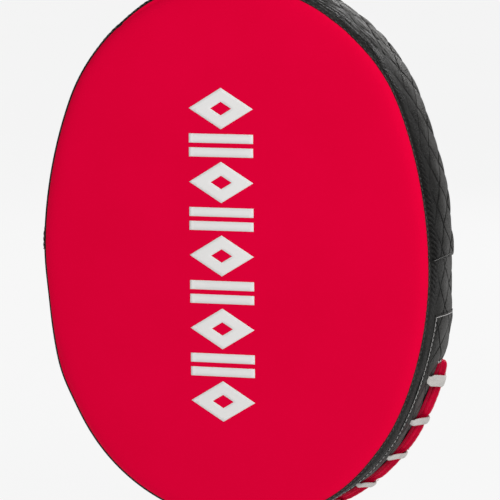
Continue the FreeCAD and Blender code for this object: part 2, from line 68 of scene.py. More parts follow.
def half_outline(height, end_radius):
    """Side arc's radius, height of the end arc's centre and angle where the two meet."""
    centre = height - end_radius
    side = (HALF_WIDTH ** 2 + centre ** 2 - end_radius ** 2) / (2 * (HALF_WIDTH - end_radius))
    return side, centre, math.atan2(centre, side - HALF_WIDTH)


SIDE_U, CENTRE_U, MEET_U = half_outline(UPPER_HEIGHT, UPPER_END)
SIDE_L, CENTRE_L, MEET_L = half_outline(LOWER_HEIGHT, LOWER_END)
# centre x and z, radius, start and end angle of each arc
ARCS = [
    (HALF_WIDTH - SIDE_U, 0.0, SIDE_U, 0.0, MEET_U),
    (0.0, CENTRE_U, UPPER_END, MEET_U, PI - MEET_U),
    (SIDE_U - HALF_WIDTH, 0.0, SIDE_U, PI - MEET_U, PI),
    (SIDE_L - HALF_WIDTH, 0.0, SIDE_L, PI, PI + MEET_L),
    (0.0, -CENTRE_L, LOWER_END, PI + MEET_L, 2 * PI - MEET_L),
    (HALF_WIDTH - SIDE_L, 0.0, SIDE_L, 2 * PI - MEET_L, 2 * PI),
]
ARC_STARTS = np.concatenate([[0.0], np.cumsum([a[2] * (a[4] - a[3]) for a in ARCS])])
PERIMETER = float(ARC_STARTS[-1])
UPPER_LENGTH = float(ARC_STARTS[3])


def outline(s):
    """Rim point and outward direction at arc length s, from +X at z = 0 and up."""
    s = np.asarray(s, float) % PERIMETER
    k = np.clip(np.searchsorted(ARC_STARTS, s, side="right") - 1, 0, 5)
    arcs = np.array(ARCS)[k]
    a = arcs[..., 3] + (s - ARC_STARTS[k]) / arcs[..., 2]
    nx, nz = np.cos(a), np.sin(a)
    return arcs[..., 0] + arcs[..., 2] * nx, arcs[..., 1] + arcs[..., 2] * nz, nx, nz


# hand-sewn unevenness: (middle arc length, half width, outward shift)
RIM_UNEVEN = [(152.0, 26.0, -0.9), (-118.0, 22.0, -1.0), (36.0, 40.0, -0.1),
              (UPPER_LENGTH - 182.0, 22.0, 1.6), (UPPER_LENGTH + 22.0, 20.0, -1.2),
              (UPPER_LENGTH + 70.0, 18.0, 1.4)]
REAR_UNEVEN = [(-33.0, 17.0, 2.6), (40.0, 24.0, 1.5), (186.0, 18.0, 1.8),
               (UPPER_LENGTH + 40.0, 22.0, 1.2)]


def unevenness(s, spots):
    """Sum of smooth bumps along the arc length."""
    shift = 0.0
    for middle, reach, amount in spots:
        gap = np.abs((s - middle + PERIMETER / 2) % PERIMETER - PERIMETER / 2)
        shift = shift + amount * np.exp(-(gap / reach) ** 2)
    return shift


def rim_point(s, off, y):
    """Points (n, 3) at arc length s, outward offset off and depth y."""
    x, z, nx, nz = outline(s)
    off, y = np.broadcast_arrays(np.asarray(off, float), np.asarray(y, float))
    x, off, y, s = np.broadcast_arrays(x, off, y, np.asarray(s, float))
    off = (off + unevenness(s, RIM_UNEVEN) * (1 - smoothstep(-49, -40, y))
           + unevenness(s, REAR_UNEVEN) * smoothstep(-40, -14, y))
    return np.stack([x + nx * off, y, z + nz * off], -1)


def direction(s, outward, back):
    """Directions at arc length s, from their outward and backward parts."""
    _, _, nx, nz = outline(s)
    return np.stack(np.broadcast_arrays(nx * outward, back, nz * outward), -1)


def inset_of(x, z):
    """Distance inside the rim."""
    side, centre, end, meet = (np.where(z >= 0, *pair) for pair in (
        (SIDE_U, SIDE_L), (CENTRE_U, CENTRE_L), (UPPER_END, LOWER_END), (MEET_U, MEET_L)))
    h = np.abs(z)
    u = np.abs(x) + side - HALF_WIDTH
    return np.where(np.arctan2(h, u) > meet, end - np.hypot(np.abs(x), h - centre),
                    side - np.hypot(u, h))


def arc_length_at(z, right=True):
    """Arc length of the point at height z on the right or left side (side arcs only)."""
    if z >= 0:
        s = SIDE_U * math.asin(z / SIDE_U)
        return s if right else UPPER_LENGTH - s
    s = SIDE_L * math.asin(-z / SIDE_L)
    return PERIMETER - s if right else UPPER_LENGTH + s


# ---------------------------------------------------------------- mesh helpers
def new_mesh(name, verts, faces, material, smooth=True, uv=None):
    """Object from vertices in millimetres."""
    mesh = bpy.data.meshes.new(name)
    verts = np.asarray(verts, float).reshape(-1, 3) * SCALE
    mesh.from_pydata(verts.tolist(), [], faces)
    mesh.update()
    if uv is not None:
        layer = mesh.uv_layers.new(name="UVMap")
        loops = np.empty(len(mesh.loops), int)
        mesh.loops.foreach_get("vertex_index", loops)
        layer.data.foreach_set("uv", np.asarray(uv, float)[loops].ravel())
    obj = bpy.data.objects.new(name, mesh)
    bpy.context.scene.collection.objects.link(obj)
    if material:
        mesh.materials.append(material)
    if smooth:
        mesh.polygons.foreach_set("use_smooth", [True] * len(mesh.polygons))
    return obj


def grid_faces(rows, cols, wrap_rows=False, wrap_cols=False, flip=False):
    """Quads of a grid, closed on itself along rows or columns."""
    faces = []
    for i in range(rows if wrap_rows else rows - 1):
        for j in range(cols if wrap_cols else cols - 1):
            here, below = i * cols, (i + 1) % rows * cols
            after = (j + 1) % cols
            face = (here + j, here + after, below + after, below + j)
            faces.append(face[:1] + face[:0:-1] if flip else face)
    return faces


def end_caps(rows, cols):
    """Faces that close both ends of a swept grid."""
    return [tuple(range(cols - 1, -1, -1)), tuple(range((rows - 1) * cols, rows * cols))]


def grid_object(name, points, material, wrap_rows=False, wrap_cols=False, flip=False, uv=None):
    """Smooth grid mesh from points (rows, cols, 3)."""
    faces = grid_faces(*points.shape[:2], wrap_rows, wrap_cols, flip)
    return new_mesh(name, points, faces, material, uv=None if uv is None else uv.reshape(-1, 2))


def swept(name, rows, material, uv=None):
    """Closed sweep from rings of points (rows, ring, 3), capped at both ends."""
    rows = np.asarray(rows)
    faces = grid_faces(*rows.shape[:2], wrap_cols=True) + end_caps(*rows.shape[:2])
    return fix_normals(new_mesh(name, rows, faces, material, uv=uv))


def fix_normals(obj, facing=0):
    """Make the normals agree, and turn an open panel towards +Y (1) or -Y (-1)."""
    bm = bmesh.new()
    bm.from_mesh(obj.data)
    bmesh.ops.recalc_face_normals(bm, faces=bm.faces)
    if facing * sum(f.normal.y for f in bm.faces) < 0:
        bmesh.ops.reverse_faces(bm, faces=bm.faces)
    bm.to_mesh(obj.data)
    bm.free()
    return obj


def disc_panel(name, rings, middle, material, facing):
    """Panel from closed rings (rings, around, 3), the outermost first, and its middle point."""
    count, around = rings.shape[:2]
    last, apex = (count - 1) * around, count * around
    faces = grid_faces(count, around, wrap_cols=True, flip=facing < 0)
    faces += [(last + j, last + (j + 1) % around, apex) for j in range(around)]
    verts = np.concatenate([rings.reshape(-1, 3), [middle]])
    return fix_normals(new_mesh(name, verts, faces, material), facing)


def fbm(points, size, seed=0.0, octaves=3):
    """Smooth noise, about -1 to 1, at points in mm; size is the feature size in mm."""
    shift = Vector((seed * 13.7, seed * 7.1, seed * 3.3))
    flat = np.asarray(points, float).reshape(-1, 3) / size
    out = [noise.fractal(Vector(p) + shift, 0.9, 2.1, octaves) for p in flat]
    return np.array(out).reshape(np.asarray(points).shape[:-1])


def ring_noise(rings, size, seed, octaves):
    """Smooth noise round closed rings (rings, around, 3), sampled at every sixth point."""
    coarse = np.repeat(fbm(rings[:, ::6], size, seed, octaves), 6, axis=1)
    kernel = np.ones(13) / 13
    return np.array([np.convolve(np.concatenate([r[-6:], r, r[:6]]), kernel, "valid")
                     for r in coarse])


def smoothstep(a, b, x):
    """0 before a, 1 after b and a soft ramp between them."""
    t = np.clip((np.asarray(x, float) - a) / (b - a), 0, 1)
    return t * t * (3 - 2 * t)


def path_frames(points):
    """Unit tangents along a polyline."""
    t = np.gradient(points, axis=0)
    return t / np.linalg.norm(t, axis=1, keepdims=True)


def tube(points, normals, sections, material, name):
    """Sweep closed 2-D sections (k, 2), along (normal, side), one at each point."""
    tangents = path_frames(points)
    side = np.cross(tangents, normals)
    side /= np.linalg.norm(side, axis=1, keepdims=True)
    normal = np.cross(side, tangents)
    return swept(name, [p + np.outer(sec[:, 0], n) + np.outer(sec[:, 1], s)
                        for p, sec, n, s in zip(points, sections, normal, side)], material)


def stitch_mesh(name, rows, material, radius, duty):
    """Thread stitches: each row is (a, b, out): ends of one stitch and the outward direction."""
    verts, faces = [], []
    rings, sides = 5, 6
    one = grid_faces(rings, sides, wrap_cols=True) + end_caps(rings, sides)
    for a, b, out in rows:
        a, b, out = np.array(a), np.array(b), np.array(out)
        mid, half = (a + b) / 2, (b - a) / 2 * duty
        t = half / (np.linalg.norm(half) + 1e-9)
        out = out - t * out.dot(t)
        out /= np.linalg.norm(out) + 1e-9
        side = np.cross(t, out)
        base = len(verts)
        for i in range(rings):
            u = -1 + 2 * i / (rings - 1)
            swell = math.sqrt(max(0.0, 1 - 0.82 * u ** 4))
            r = radius * (0.45 + 0.55 * swell) if abs(u) < 1 else radius * 0.35
            centre = mid + half * u + out * (radius * (0.35 - 1.1 * u ** 4))
            for j in range(sides):
                ang = 2 * PI * j / sides
                verts.append(centre + side * (r * math.cos(ang)) + out * (r * math.sin(ang)))
        faces += [tuple(base + i for i in face) for face in one]
    return new_mesh(name, verts, faces, material)


def run_length(points):
    """Distance along a polyline from its first point."""
    return np.concatenate([[0], np.cumsum(np.linalg.norm(np.diff(points, axis=0), axis=1))])


def resample(points, run, marks):
    """Points of a polyline at the given distances."""
    return np.stack([np.interp(marks, run, column) for column in points.T], 1)


def stitches_along(points, outs, pitch):
    """Stitch rows spaced evenly along a polyline; outs is one direction or one a point."""
    points = np.asarray(points, float)
    run = run_length(points)
    count = max(1, int(round(run[-1] / pitch)))
    marks = np.linspace(0, run[-1], count + 1)
    at = resample(points, run, marks)
    out = resample(np.broadcast_to(np.asarray(outs, float), points.shape), run, marks)
    return list(zip(at[:-1], at[1:], out))


# ---------------------------------------------------------------- materials
QUILT_S, QUILT_Y, QUILT_ROW = 23.7, 19.0, -20.5    # diamond length, height and first row
PUCKER_PITCH, PUCKER_SLANT = 3.4, 0.55


class Nodes:
    """Small helper round a material's node tree."""

    def __init__(self, name):
        self.mat = bpy.data.materials.new(name)
        self.mat.use_nodes = True
        self.tree = self.mat.node_tree
        self.tree.nodes.clear()
        self.shader = self.add("ShaderNodeBsdfPrincipled")
        out = self.add("ShaderNodeOutputMaterial")
        self.link(self.shader.outputs[0], out.inputs[0])
        self.coord = self.add("ShaderNodeTexCoord")

    def add(self, kind, **values):
        node = self.tree.nodes.new(kind)
        for key, value in values.items():
            if key.startswith("in_"):
                node.inputs[key[3:].replace("_", " ")].default_value = value
            else:
                setattr(node, key, value)
        return node

    def link(self, a, b):
        self.tree.links.new(a, b)

    def into(self, socket, value):
        self.link(value, self.shader.inputs[socket])

    def split(self, vector):
        """X, Y and Z of a vector."""
        node = self.add("ShaderNodeSeparateXYZ")
        self.link(vector, node.inputs[0])
        return node.outputs

    def set(self, **values):
        for key, value in values.items():
            self.shader.inputs[key.replace("_", " ")].default_value = value

    def noise(self, size_mm, detail=3.0, rough=0.55, stretch=None):
        """Noise with features about size_mm across, in object space."""
        tex = self.add("ShaderNodeTexNoise", in_Scale=1.0 / (size_mm * SCALE),
                       in_Detail=detail, in_Roughness=rough)
        vec = self.coord.outputs["Object"]
        if stretch:
            scale = self.add("ShaderNodeVectorMath", operation="MULTIPLY")
            scale.inputs[1].default_value = stretch
            self.link(vec, scale.inputs[0])
            vec = scale.outputs[0]
        self.link(vec, tex.inputs["Vector"])
        return tex.outputs["Fac"]

    def cells(self, size_mm, feature="DISTANCE_TO_EDGE", randomness=1.0):
        tex = self.add("ShaderNodeTexVoronoi", feature=feature,
                       in_Scale=1.0 / (size_mm * SCALE), in_Randomness=randomness)
        self.link(self.coord.outputs["Object"], tex.inputs["Vector"])
        return tex.outputs["Distance"]

    def ramp(self, value, stops):
        node = self.add("ShaderNodeValToRGB")
        ramp = node.color_ramp
        while len(ramp.elements) < len(stops):
            ramp.elements.new(0.5)
        for element, (pos, colour) in zip(ramp.elements, stops):
            element.position = pos
            element.color = colour if len(colour) == 4 else (*colour, 1)
        self.link(value, node.inputs[0])
        return node.outputs[0]

    def math(self, op, a, b=None):
        node = self.add("ShaderNodeMath", operation=op)
        for i, v in enumerate((a, b)):
            if v is None:
                continue
            if isinstance(v, (int, float)):
                node.inputs[i].default_value = v
            else:
                self.link(v, node.inputs[i])
        return node.outputs[0]

    def weighted(self, a, share_a, b, share_b):
        """Sum of two values, each times its share."""
        return self.math("ADD", self.math("MULTIPLY", a, share_a),
                         self.math("MULTIPLY", b, share_b))

    def map_range(self, value, a, b, c, d):
        node = self.add("ShaderNodeMapRange")
        for i, v in enumerate((a, b, c, d)):
            node.inputs[i + 1].default_value = v
        self.link(value, node.inputs[0])
        return node.outputs[0]

    def bump(self, height, strength, distance_mm, normal=None):
        node = self.add("ShaderNodeBump", in_Strength=strength, in_Distance=distance_mm * SCALE)
        self.link(height, node.inputs["Height"])
        if normal:
            self.link(normal, node.inputs["Normal"])
        return node.outputs[0]

    def colour(self, value, dark, light, low=0.3, high=0.7):
        self.into("Base Color", self.ramp(value, [(low, dark), (high, light)]))


def leather(name, colour, dark, rough=(0.42, 0.55), grain=0.9, grain_depth=0.10, crease=0.0,
            mottle=18.0, specular=0.5, pore=0.35, gloss=0.0, speckle=0.25, painted_rear_sheen=None):
    """Leather: pebbled grain, fine pores, mottled colour and uneven shine.

    gloss mixes in a tinted sheen that does not whiten at a glancing angle; the rear colour is a
    paler colour that takes over in the rear half of the wall: a painted highlight, where the
    wall's rear catches the light.
    """
    n = Nodes(name)
    blotch = n.noise(mottle, 4.0)
    tone = n.weighted(blotch, 1 - speckle, n.noise(1.3, 4.0), speckle)
    stops = [(0.32, dark), (0.62, colour)]
    if painted_rear_sheen:
        # painted highlight: the colour pales towards the wall's rear; the dark stitch lines and
        # the painted shade of the pucker creases are then taken off
        depth = n.split(n.coord.outputs["Object"])[1]
        rear = n.map_range(depth, -34 * SCALE, -15 * SCALE, 0.0, 0.38)
        tone = n.math("SUBTRACT", n.math("ADD", tone, rear), stitch_lines_and_crease_shade(n))
        stops.append((1.0, painted_rear_sheen))
    n.into("Base Color", n.ramp(tone, stops))
    n.into("Roughness", n.map_range(blotch, 0.3, 0.7, *rough))
    pebble = n.map_range(n.cells(grain), 0.0, 0.16, 0.0, 1.0)
    normal = n.bump(n.weighted(pebble, 0.6, n.noise(pore, 2.0), 0.4), 0.55, grain_depth)
    if crease:
        normal = n.bump(n.noise(5.0, 5.0, 0.62), 0.6, crease, normal)
    n.into("Normal", normal)
    n.set(Specular_IOR_Level=specular)
    if gloss:
        n.set(Metallic=gloss, Specular_Tint=(0.42, 0.42, 0.42, 1))
    return n.mat


def stitch_lines_and_crease_shade(n):
    """Dark quilting lines, and painted shade in the pucker creases, from the UV map (along the
    wall, depth).
    """
    along, depth = n.split(n.coord.outputs["UV"])[:2]
    a = n.math("MULTIPLY", along, PI / QUILT_S)
    b = n.math("MULTIPLY", n.math("SUBTRACT", depth, QUILT_ROW), PI / QUILT_Y)
    lines = [n.math("ABSOLUTE", n.math("SINE", n.math(op, a, b))) for op in ("ADD", "SUBTRACT")]
    quilt = n.math("MULTIPLY", n.map_range(n.math("MINIMUM", *lines), 0.02, 0.17, 0.62, 0.0),
                   n.map_range(depth, -40.0, -24.0, 0.0, 1.0))
    # painted shade: dark slanted strokes in the pucker creases near the rim
    slanted = n.math("ADD", along, n.math("MULTIPLY", depth, PUCKER_SLANT))
    wave = n.math("SINE", n.math("MULTIPLY", slanted, 2 * PI / PUCKER_PITCH))
    from_middle = n.math("ABSOLUTE", n.math("SUBTRACT", along, 24.0))
    crease = n.map_range(wave, 0.0, 0.8, 0.0, 0.42)
    for fade in (n.map_range(from_middle, 22.0, 48.0, 1.0, 0.15),
                 n.map_range(depth, -48.4, -46.6, 0.0, 1.0),
                 n.map_range(depth, -42.5, -38.0, 1.0, 0.0)):
        crease = n.math("MULTIPLY", crease, fade)
    return n.math("ADD", quilt, crease)


def woven(name, colour, dark, pitch=1.5):
    """Webbing: crossing yarns from the UV map (u along, v across, in millimetres)."""
    n = Nodes(name)
    u, v = (n.math("MULTIPLY", part, 2 * PI / pitch)
            for part in n.split(n.coord.outputs["UV"])[:2])
    weave = n.math("MULTIPLY", n.math("SINE", u), n.math("SINE", v))
    rib = n.math("ABSOLUTE", n.math("SINE", n.math("MULTIPLY", v, 0.5)))
    fuzz = n.math("MULTIPLY", n.noise(0.5, 3.0), 0.4)
    height = n.math("ADD", n.weighted(weave, 0.3, rib, 0.5), fuzz)
    n.into("Normal", n.bump(height, 0.7, 0.22))
    tone = n.weighted(n.map_range(weave, -1, 1, 0, 1), 0.4, n.noise(9.0, 4.0), 0.6)
    n.colour(tone, dark, colour, 0.25, 0.75)
    n.set(Roughness=0.75, Specular_IOR_Level=0.35, Sheen_Weight=0.15, Sheen_Roughness=0.5)
    return n.mat


def metal(name, colour, rough=0.22):
    """Plated metal with faint streaks."""
    n = Nodes(name)
    streak = n.noise(3.0, 5.0, 0.6, stretch=(1, 1, 0.15))
    n.into("Roughness", n.map_range(streak, 0.3, 0.7, rough, rough + 0.14))
    n.colour(n.noise(6.0, 4.0), [c * 0.82 for c in colour], colour)
    n.into("Normal", n.bump(n.noise(0.8, 4.0), 0.25, 0.03))
    n.set(Metallic=1.0)
    return n.mat


def pile(name, colour, dark, size, depth):
    """Hook or loop tape: a dense field of small tufts."""
    n = Nodes(name)
    fluff = n.noise(size * 0.7, 3.0)
    height = n.math("SUBTRACT", n.math("MULTIPLY", fluff, 0.5), n.cells(size, "F1", 0.7))
    n.into("Normal", n.bump(height, 0.9, depth))
    n.colour(fluff, dark, colour)
    n.set(Roughness=0.9, Sheen_Weight=0.3, Sheen_Roughness=0.6, Specular_IOR_Level=0.2)
    return n.mat


def foam(name, colour, dark):
    """Closed-cell foam."""
    n = Nodes(name)
    n.colour(n.noise(12.0, 4.0), dark, colour)
    n.into("Normal", n.bump(n.cells(1.1, "F1"), 0.6, 0.3))
    n.set(Roughness=0.92, Specular_IOR_Level=0.2)
    return n.mat


def thread(name, colour, dark):
    """Twisted thread."""
    n = Nodes(name)
    ply = n.noise(0.35, 2.0)
    n.colour(ply, dark, colour)
    n.into("Normal", n.bump(ply, 0.6, 0.08))
    n.set(Roughness=0.75, Sheen_Weight=0.2)
    return n.mat


RED = (0.765, 0.0002, 0.040)
M = {
    "face": leather("face_leather", RED, (0.735, 0.0002, 0.036), rough=(0.50, 0.62), grain=0.7,
                    grain_depth=0.018, mottle=60.0, specular=0.008, pore=0.3),
    "red": leather("roll_leather", (0.60, 0.0008, 0.036), (0.40, 0.0004, 0.022),
                   rough=(0.24, 0.36), grain=0.8, grain_depth=0.05, crease=0.20, mottle=9.0,
                   specular=0.05),
    # the flange: a darker copy of the roll's red leather, painted shade where it lies in the
    # roll's shadow
    "dark_red": leather("flange_leather_painted_shade", (0.36, 0.001, 0.024), (0.20, 0.0005, 0.012),
                        rough=(0.38, 0.5), grain=0.8, grain_depth=0.06, mottle=9.0,
                        specular=0.03),
    "black": leather("panel_leather", (0.036, 0.0355, 0.034), (0.014, 0.0138, 0.0135),
                     rough=(0.34, 0.48), grain=1.4, grain_depth=0.26, crease=0.40,
                     specular=0.02, gloss=0.6, speckle=0.45),
    "wall": leather("wall_leather", (0.046, 0.0455, 0.044), (0.013, 0.0128, 0.0125),
                    rough=(0.32, 0.46), grain=1.5, grain_depth=0.38, crease=0.50,
                    specular=0.02, gloss=0.6, speckle=0.60, painted_rear_sheen=(0.145, 0.143, 0.140)),
    "quilt": leather("quilted_leather", (0.030, 0.0295, 0.0285), (0.012, 0.0118, 0.0115),
                     rough=(0.22, 0.36), grain=1.4, grain_depth=0.30, crease=0.50,
                     specular=0.02, gloss=0.65, speckle=0.50, painted_rear_sheen=(0.135, 0.133, 0.130)),
    "lace": leather("lace_leather", (0.60, 0.58, 0.555), (0.42, 0.40, 0.38), rough=(0.45, 0.6),
                    grain=0.6, grain_depth=0.06, crease=0.2, mottle=6.0, specular=0.15),
    "print": leather("print_film", (0.83, 0.82, 0.81), (0.79, 0.78, 0.77), rough=(0.5, 0.6),
                     grain=0.7, grain_depth=0.012, mottle=30.0, specular=0.03),
    "webbing": woven("webbing", (0.035, 0.035, 0.037), (0.012, 0.012, 0.013)),
    "hook": pile("hook_tape", (0.035, 0.035, 0.036), (0.012, 0.012, 0.012), 1.1, 0.5),
    "loop": pile("loop_tape", (0.05, 0.05, 0.052), (0.02, 0.02, 0.02), 0.8, 0.35),
    "steel": metal("plated_steel", (0.72, 0.72, 0.74)),
    "rivet": metal("rivet_nickel", (0.70, 0.69, 0.68), 0.28),
    "foam_soft": foam("soft_foam", (0.70, 0.68, 0.62), (0.58, 0.56, 0.50)),
    "foam_firm": foam("firm_foam", (0.12, 0.12, 0.13), (0.07, 0.07, 0.08)),
    "white_thread": thread("white_thread", (0.60, 0.59, 0.57), (0.42, 0.41, 0.40)),
    "heel_thread": thread("heel_thread", (0.42, 0.41, 0.40), (0.25, 0.245, 0.24)),
    "grey_thread": thread("grey_thread", (0.13, 0.13, 0.125), (0.06, 0.06, 0.058)),
    "seam_thread": thread("seam_thread", (0.085, 0.085, 0.08), (0.04, 0.04, 0.038)),
    "dark_thread": thread("dark_thread", (0.10, 0.02, 0.03), (0.05, 0.01, 0.015)),
    "red_thread": thread("red_thread", (0.60, 0.25, 0.27), (0.42, 0.12, 0.14)),
}


def keep(obj, body="pad", nodes=()):
    """Hide the CAD nodes it stands for and let it ride on its body."""
    if nodes:
        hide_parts(*nodes)
    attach(obj, body)


def sew(name, rows, look, radius, duty, body="pad"):
    """Keep rows of stitches as one piece."""
    keep(stitch_mesh(name, rows, M[look], radius, duty), body)


# ---------------------------------------------------------------- face
def crown_height(x, z):
    """How far the face stands in front of the rim plane."""
    inset = np.maximum(inset_of(x, z), 0)
    roll = 3.3 * (1 - np.exp(-inset / 2.6))
    shoulder = 0.9 * (1 - np.exp(-inset / 16.0))
    dome = 1.8 * (1 - np.clip((x / 118.0) ** 2 + ((z - 5) / 160.0) ** 2, 0, 1))
    return roll + shoulder + dome


def build_face():
    """Crowned face panel. Returns its surface, to lay the print on."""
    around = 720
    edge, edge_depth = 0.55, 1.08       # how far the face is turned in under the rim
    insets = np.concatenate([np.linspace(-edge, 0.0, 3)[:-1], np.linspace(0, 6, 14)[:-1],
                             np.linspace(6, 30, 14)[:-1], np.linspace(30, 106.5, 34)])
    s = np.arange(around) * PERIMETER / around
    rows = []
    for inset in insets:
        p = rim_point(s, -inset, RIM_Y)
        if inset <= 0:
            p[:, 1] -= edge_depth * inset / edge
        else:
            p[:, 1] = RIM_Y - crown_height(p[:, 0], p[:, 2])
        rows.append(p)
    pts = np.array(rows)
    pts[..., 1] += 0.22 * ring_noise(pts, 70.0, 3.0, 2) * smoothstep(0, 20, insets)[:, None]
    wave = np.sin(2 * PI * s / 7.4 + 2.0 * np.sin(s / 23.0))[None, :]
    near = np.exp(-((insets - 1.4) / 1.5) ** 2)[:, None]
    pts[..., 1] += 0.10 * wave * near
    middle = (0.0, RIM_Y - float(crown_height(0.0, 0.0)), 2.0)
    obj = disc_panel("face_panel", pts, middle, M["face"], -1)
    keep(obj, nodes=("face_cover",))
    return BVHTree.FromPolygons([v.co / SCALE for v in obj.data.vertices],
                                [tuple(p.vertices) for p in obj.data.polygons])


def fill_polygon(outer, inner=None, step=1.6):
    """Triangulated, evenly subdivided polygon with an optional hole, as (x, z) points."""
    bm = bmesh.new()
    edges = []
    for loop in [outer, inner] if inner else [outer]:
        pts = []
        for i in range(len(loop)):
            a, b = np.array(loop[i]), np.array(loop[(i + 1) % len(loop)])
            n = max(1, int(np.linalg.norm(b - a) / step))
            pts += [a + (b - a) * k / n for k in range(n)]
        vs = [bm.verts.new((p[0], 0, p[1])) for p in pts]
        edges += [bm.edges.new((vs[i], vs[(i + 1) % len(vs)])) for i in range(len(vs))]
    bmesh.ops.triangle_fill(bm, edges=edges, use_beauty=True)
    for _ in range(2):
        long_edges = [e for e in bm.edges if e.calc_length() > step * 1.8]
        if long_edges:
            bmesh.ops.subdivide_edges(bm, edges=long_edges, cuts=1)
            bmesh.ops.triangulate(bm, faces=bm.faces)
    bm.verts.ensure_lookup_table()
    verts = np.array([v.co[:] for v in bm.verts])
    faces = [tuple(v.index for v in f.verts) for f in bm.faces]
    bm.free()
    return verts, faces


def build_print(face):
    """White column of diamond frames and bars, lying on the crowned face."""
    cx, width, top = -5.0, 40.0, 105.0
    stroke, diamond, bar, gap = 7.0, 24.4, 5.4, 2.8
    verts, faces = [], []

    def add(outer, inner=None):
        v, f = fill_polygon(outer, inner)
        for point in v:
            hit = face.ray_cast(Vector((point[0], -90.0, point[2])), Vector((0, 1, 0)))[0]
            point[1] = hit.y - 0.10
        first = sum(len(a) for a in verts)
        verts.append(v)
        faces.extend(tuple(i + first for i in polygon) for polygon in f)

    half_x, half_z = width / 2, diamond / 2
    shrink = 1 - stroke * math.hypot(half_x, half_z) / (half_x * half_z)
    z = top
    for i in range(5):
        frame_points = [[(cx + a * half_x * k, z - half_z + b * half_z * k)
                         for a, b in ((1, 0), (0, 1), (-1, 0), (0, -1))] for k in (1, shrink)]
        add(*frame_points)
        z -= diamond + gap
        for _ in range(2 if i < 4 else 0):
            add([(cx - half_x, z - bar), (cx + half_x, z - bar),
                 (cx + half_x, z), (cx - half_x, z)])
            z -= bar + gap
    obj = new_mesh("face_graphic", np.concatenate(verts), faces, M["print"])
    bm = bmesh.new()
    bm.from_mesh(obj.data)
    for f in bm.faces:
        if f.normal.y > 0:
            f.normal_flip()
    bm.to_mesh(obj.data)
    bm.free()
    shell = obj.modifiers.new("film", "SOLIDIFY")
    shell.thickness = 0.25 * SCALE
    shell.offset = -1
    keep(obj, nodes=("face_print",))


# ---------------------------------------------------------------- wall
LAP_LOW, LAP_HIGH = 4.7, 14.7       # overlap of the upper wall piece over the lower one
HEEL_FRONT, HEEL_TOP = -36.0, -27.6
LIP = 1.35                          # how far the wall's front edge stands outside the rim


def wall_profile(step):
    """Offset, depth and outward direction down the wall, from the rim to the back."""
    pts = [(-1.1, RIM_Y + 0.5), (-0.3, RIM_Y + 0.3), (LIP, RIM_Y + 0.65)]
    for t in np.linspace(0, 1, 9)[1:]:
        pts.append((LIP + (WALL_OUT - LIP) * math.sin(t * PI / 2), RIM_Y + 0.65 + 5.35 * t))
    n = int((CORNER_Y + 44) / step)
    pts += [(WALL_OUT, y) for y in np.linspace(-43.4, CORNER_Y, n)]
    for a in np.linspace(0, PI / 2, 12)[1:]:
        pts.append((CORNER_OFF + CORNER_R * math.cos(a), CORNER_Y + CORNER_R * math.sin(a)))
    pts.append((CORNER_OFF - 3.0, CORNER_Y + CORNER_R))
    pts = np.array(pts)
    t = np.gradient(pts, axis=0)
    t /= np.linalg.norm(t, axis=1, keepdims=True)
    return pts, np.stack([t[:, 1], -t[:, 0]], 1)


def lattice(s, y):
    """Diamond pillows: 0 on the quilt lines, 1 in the middle of each diamond."""
    a = s / QUILT_S + (y - QUILT_ROW) / QUILT_Y
    b = s / QUILT_S - (y - QUILT_ROW) / QUILT_Y
    return (np.abs(np.sin(PI * a)) * np.abs(np.sin(PI * b))) ** 0.42


def signed_length(s):
    """Arc length from the right side's middle, negative on the lower half."""
    return (s + PERIMETER / 2) % PERIMETER - PERIMETER / 2


def resampled_noise(flat, size, seed, octaves=2):
    """Smooth noise on a grid (rows, cols, 3), sampled every fourth column."""
    cols = np.arange(flat.shape[1])
    keys = np.unique(np.append(cols[::4], cols[-1]))
    coarse = fbm(flat[:, keys], size, seed, octaves)
    return np.array([np.interp(cols, keys, row) for row in coarse])


def wall_relief(s, depth, upper):
    """Outward relief of the wall: puckers, quilting and slack in the leather."""
    s2, y2 = np.broadcast_arrays(s, depth)
    flat = np.stack([s2, y2, 0 * s2], -1)
    drift = resampled_noise(flat, 9.0, 1.0)
    slack = resampled_noise(flat, 26.0, 5.0)
    side = signed_length(s2)
    mirrored = np.abs(signed_length(s2 - UPPER_LENGTH))
    strong = np.exp(-((side - 20) / 30.0) ** 2) + 0.25 * np.exp(-(mirrored / 34.0) ** 2)
    amount = 0.12 + 0.46 * strong
    reach = smoothstep(-49.4, -46.8, y2) * (1 - smoothstep(-44.0, -40 + 5.0 * strong, y2))
    along = s2 + 0.9 * drift - (0 if upper else PERIMETER)
    phase = 2 * PI * (along + PUCKER_SLANT * y2) / PUCKER_PITCH
    pucker = -amount * reach * np.clip(0.45 + np.sin(phase), 0, 1.4) ** 0.8
    pillow = lattice(along, y2)
    rear = 0.30 + 0.70 * smoothstep(-40, -14, y2)
    groove = -np.exp(-(pillow / 0.30) ** 2)
    quilt = rear * smoothstep(-46, -38, y2) * ((0.70 if upper else 0.50) * (pillow - 0.72)
                                               + 0.42 * groove)
    top = smoothstep(115, 145, side) * smoothstep(115, 145, mirrored) if upper else 0.0
    streaks = 0.55 * top * resampled_noise(flat * np.array([0.16, 1.0, 1.0]), 2.6, 3.0)
    thread_dip = -0.22 * np.exp(-((y2 + 48.3) / 0.5) ** 2)
    body = smoothstep(-49, -42, y2) * 0.32 * slack
    back = 1 - smoothstep(0, 3, depth - CORNER_Y - CORNER_R * PI / 2)
    return (pucker + quilt + body + streaks) * back + thread_dip, np.stack([along, y2], -1)


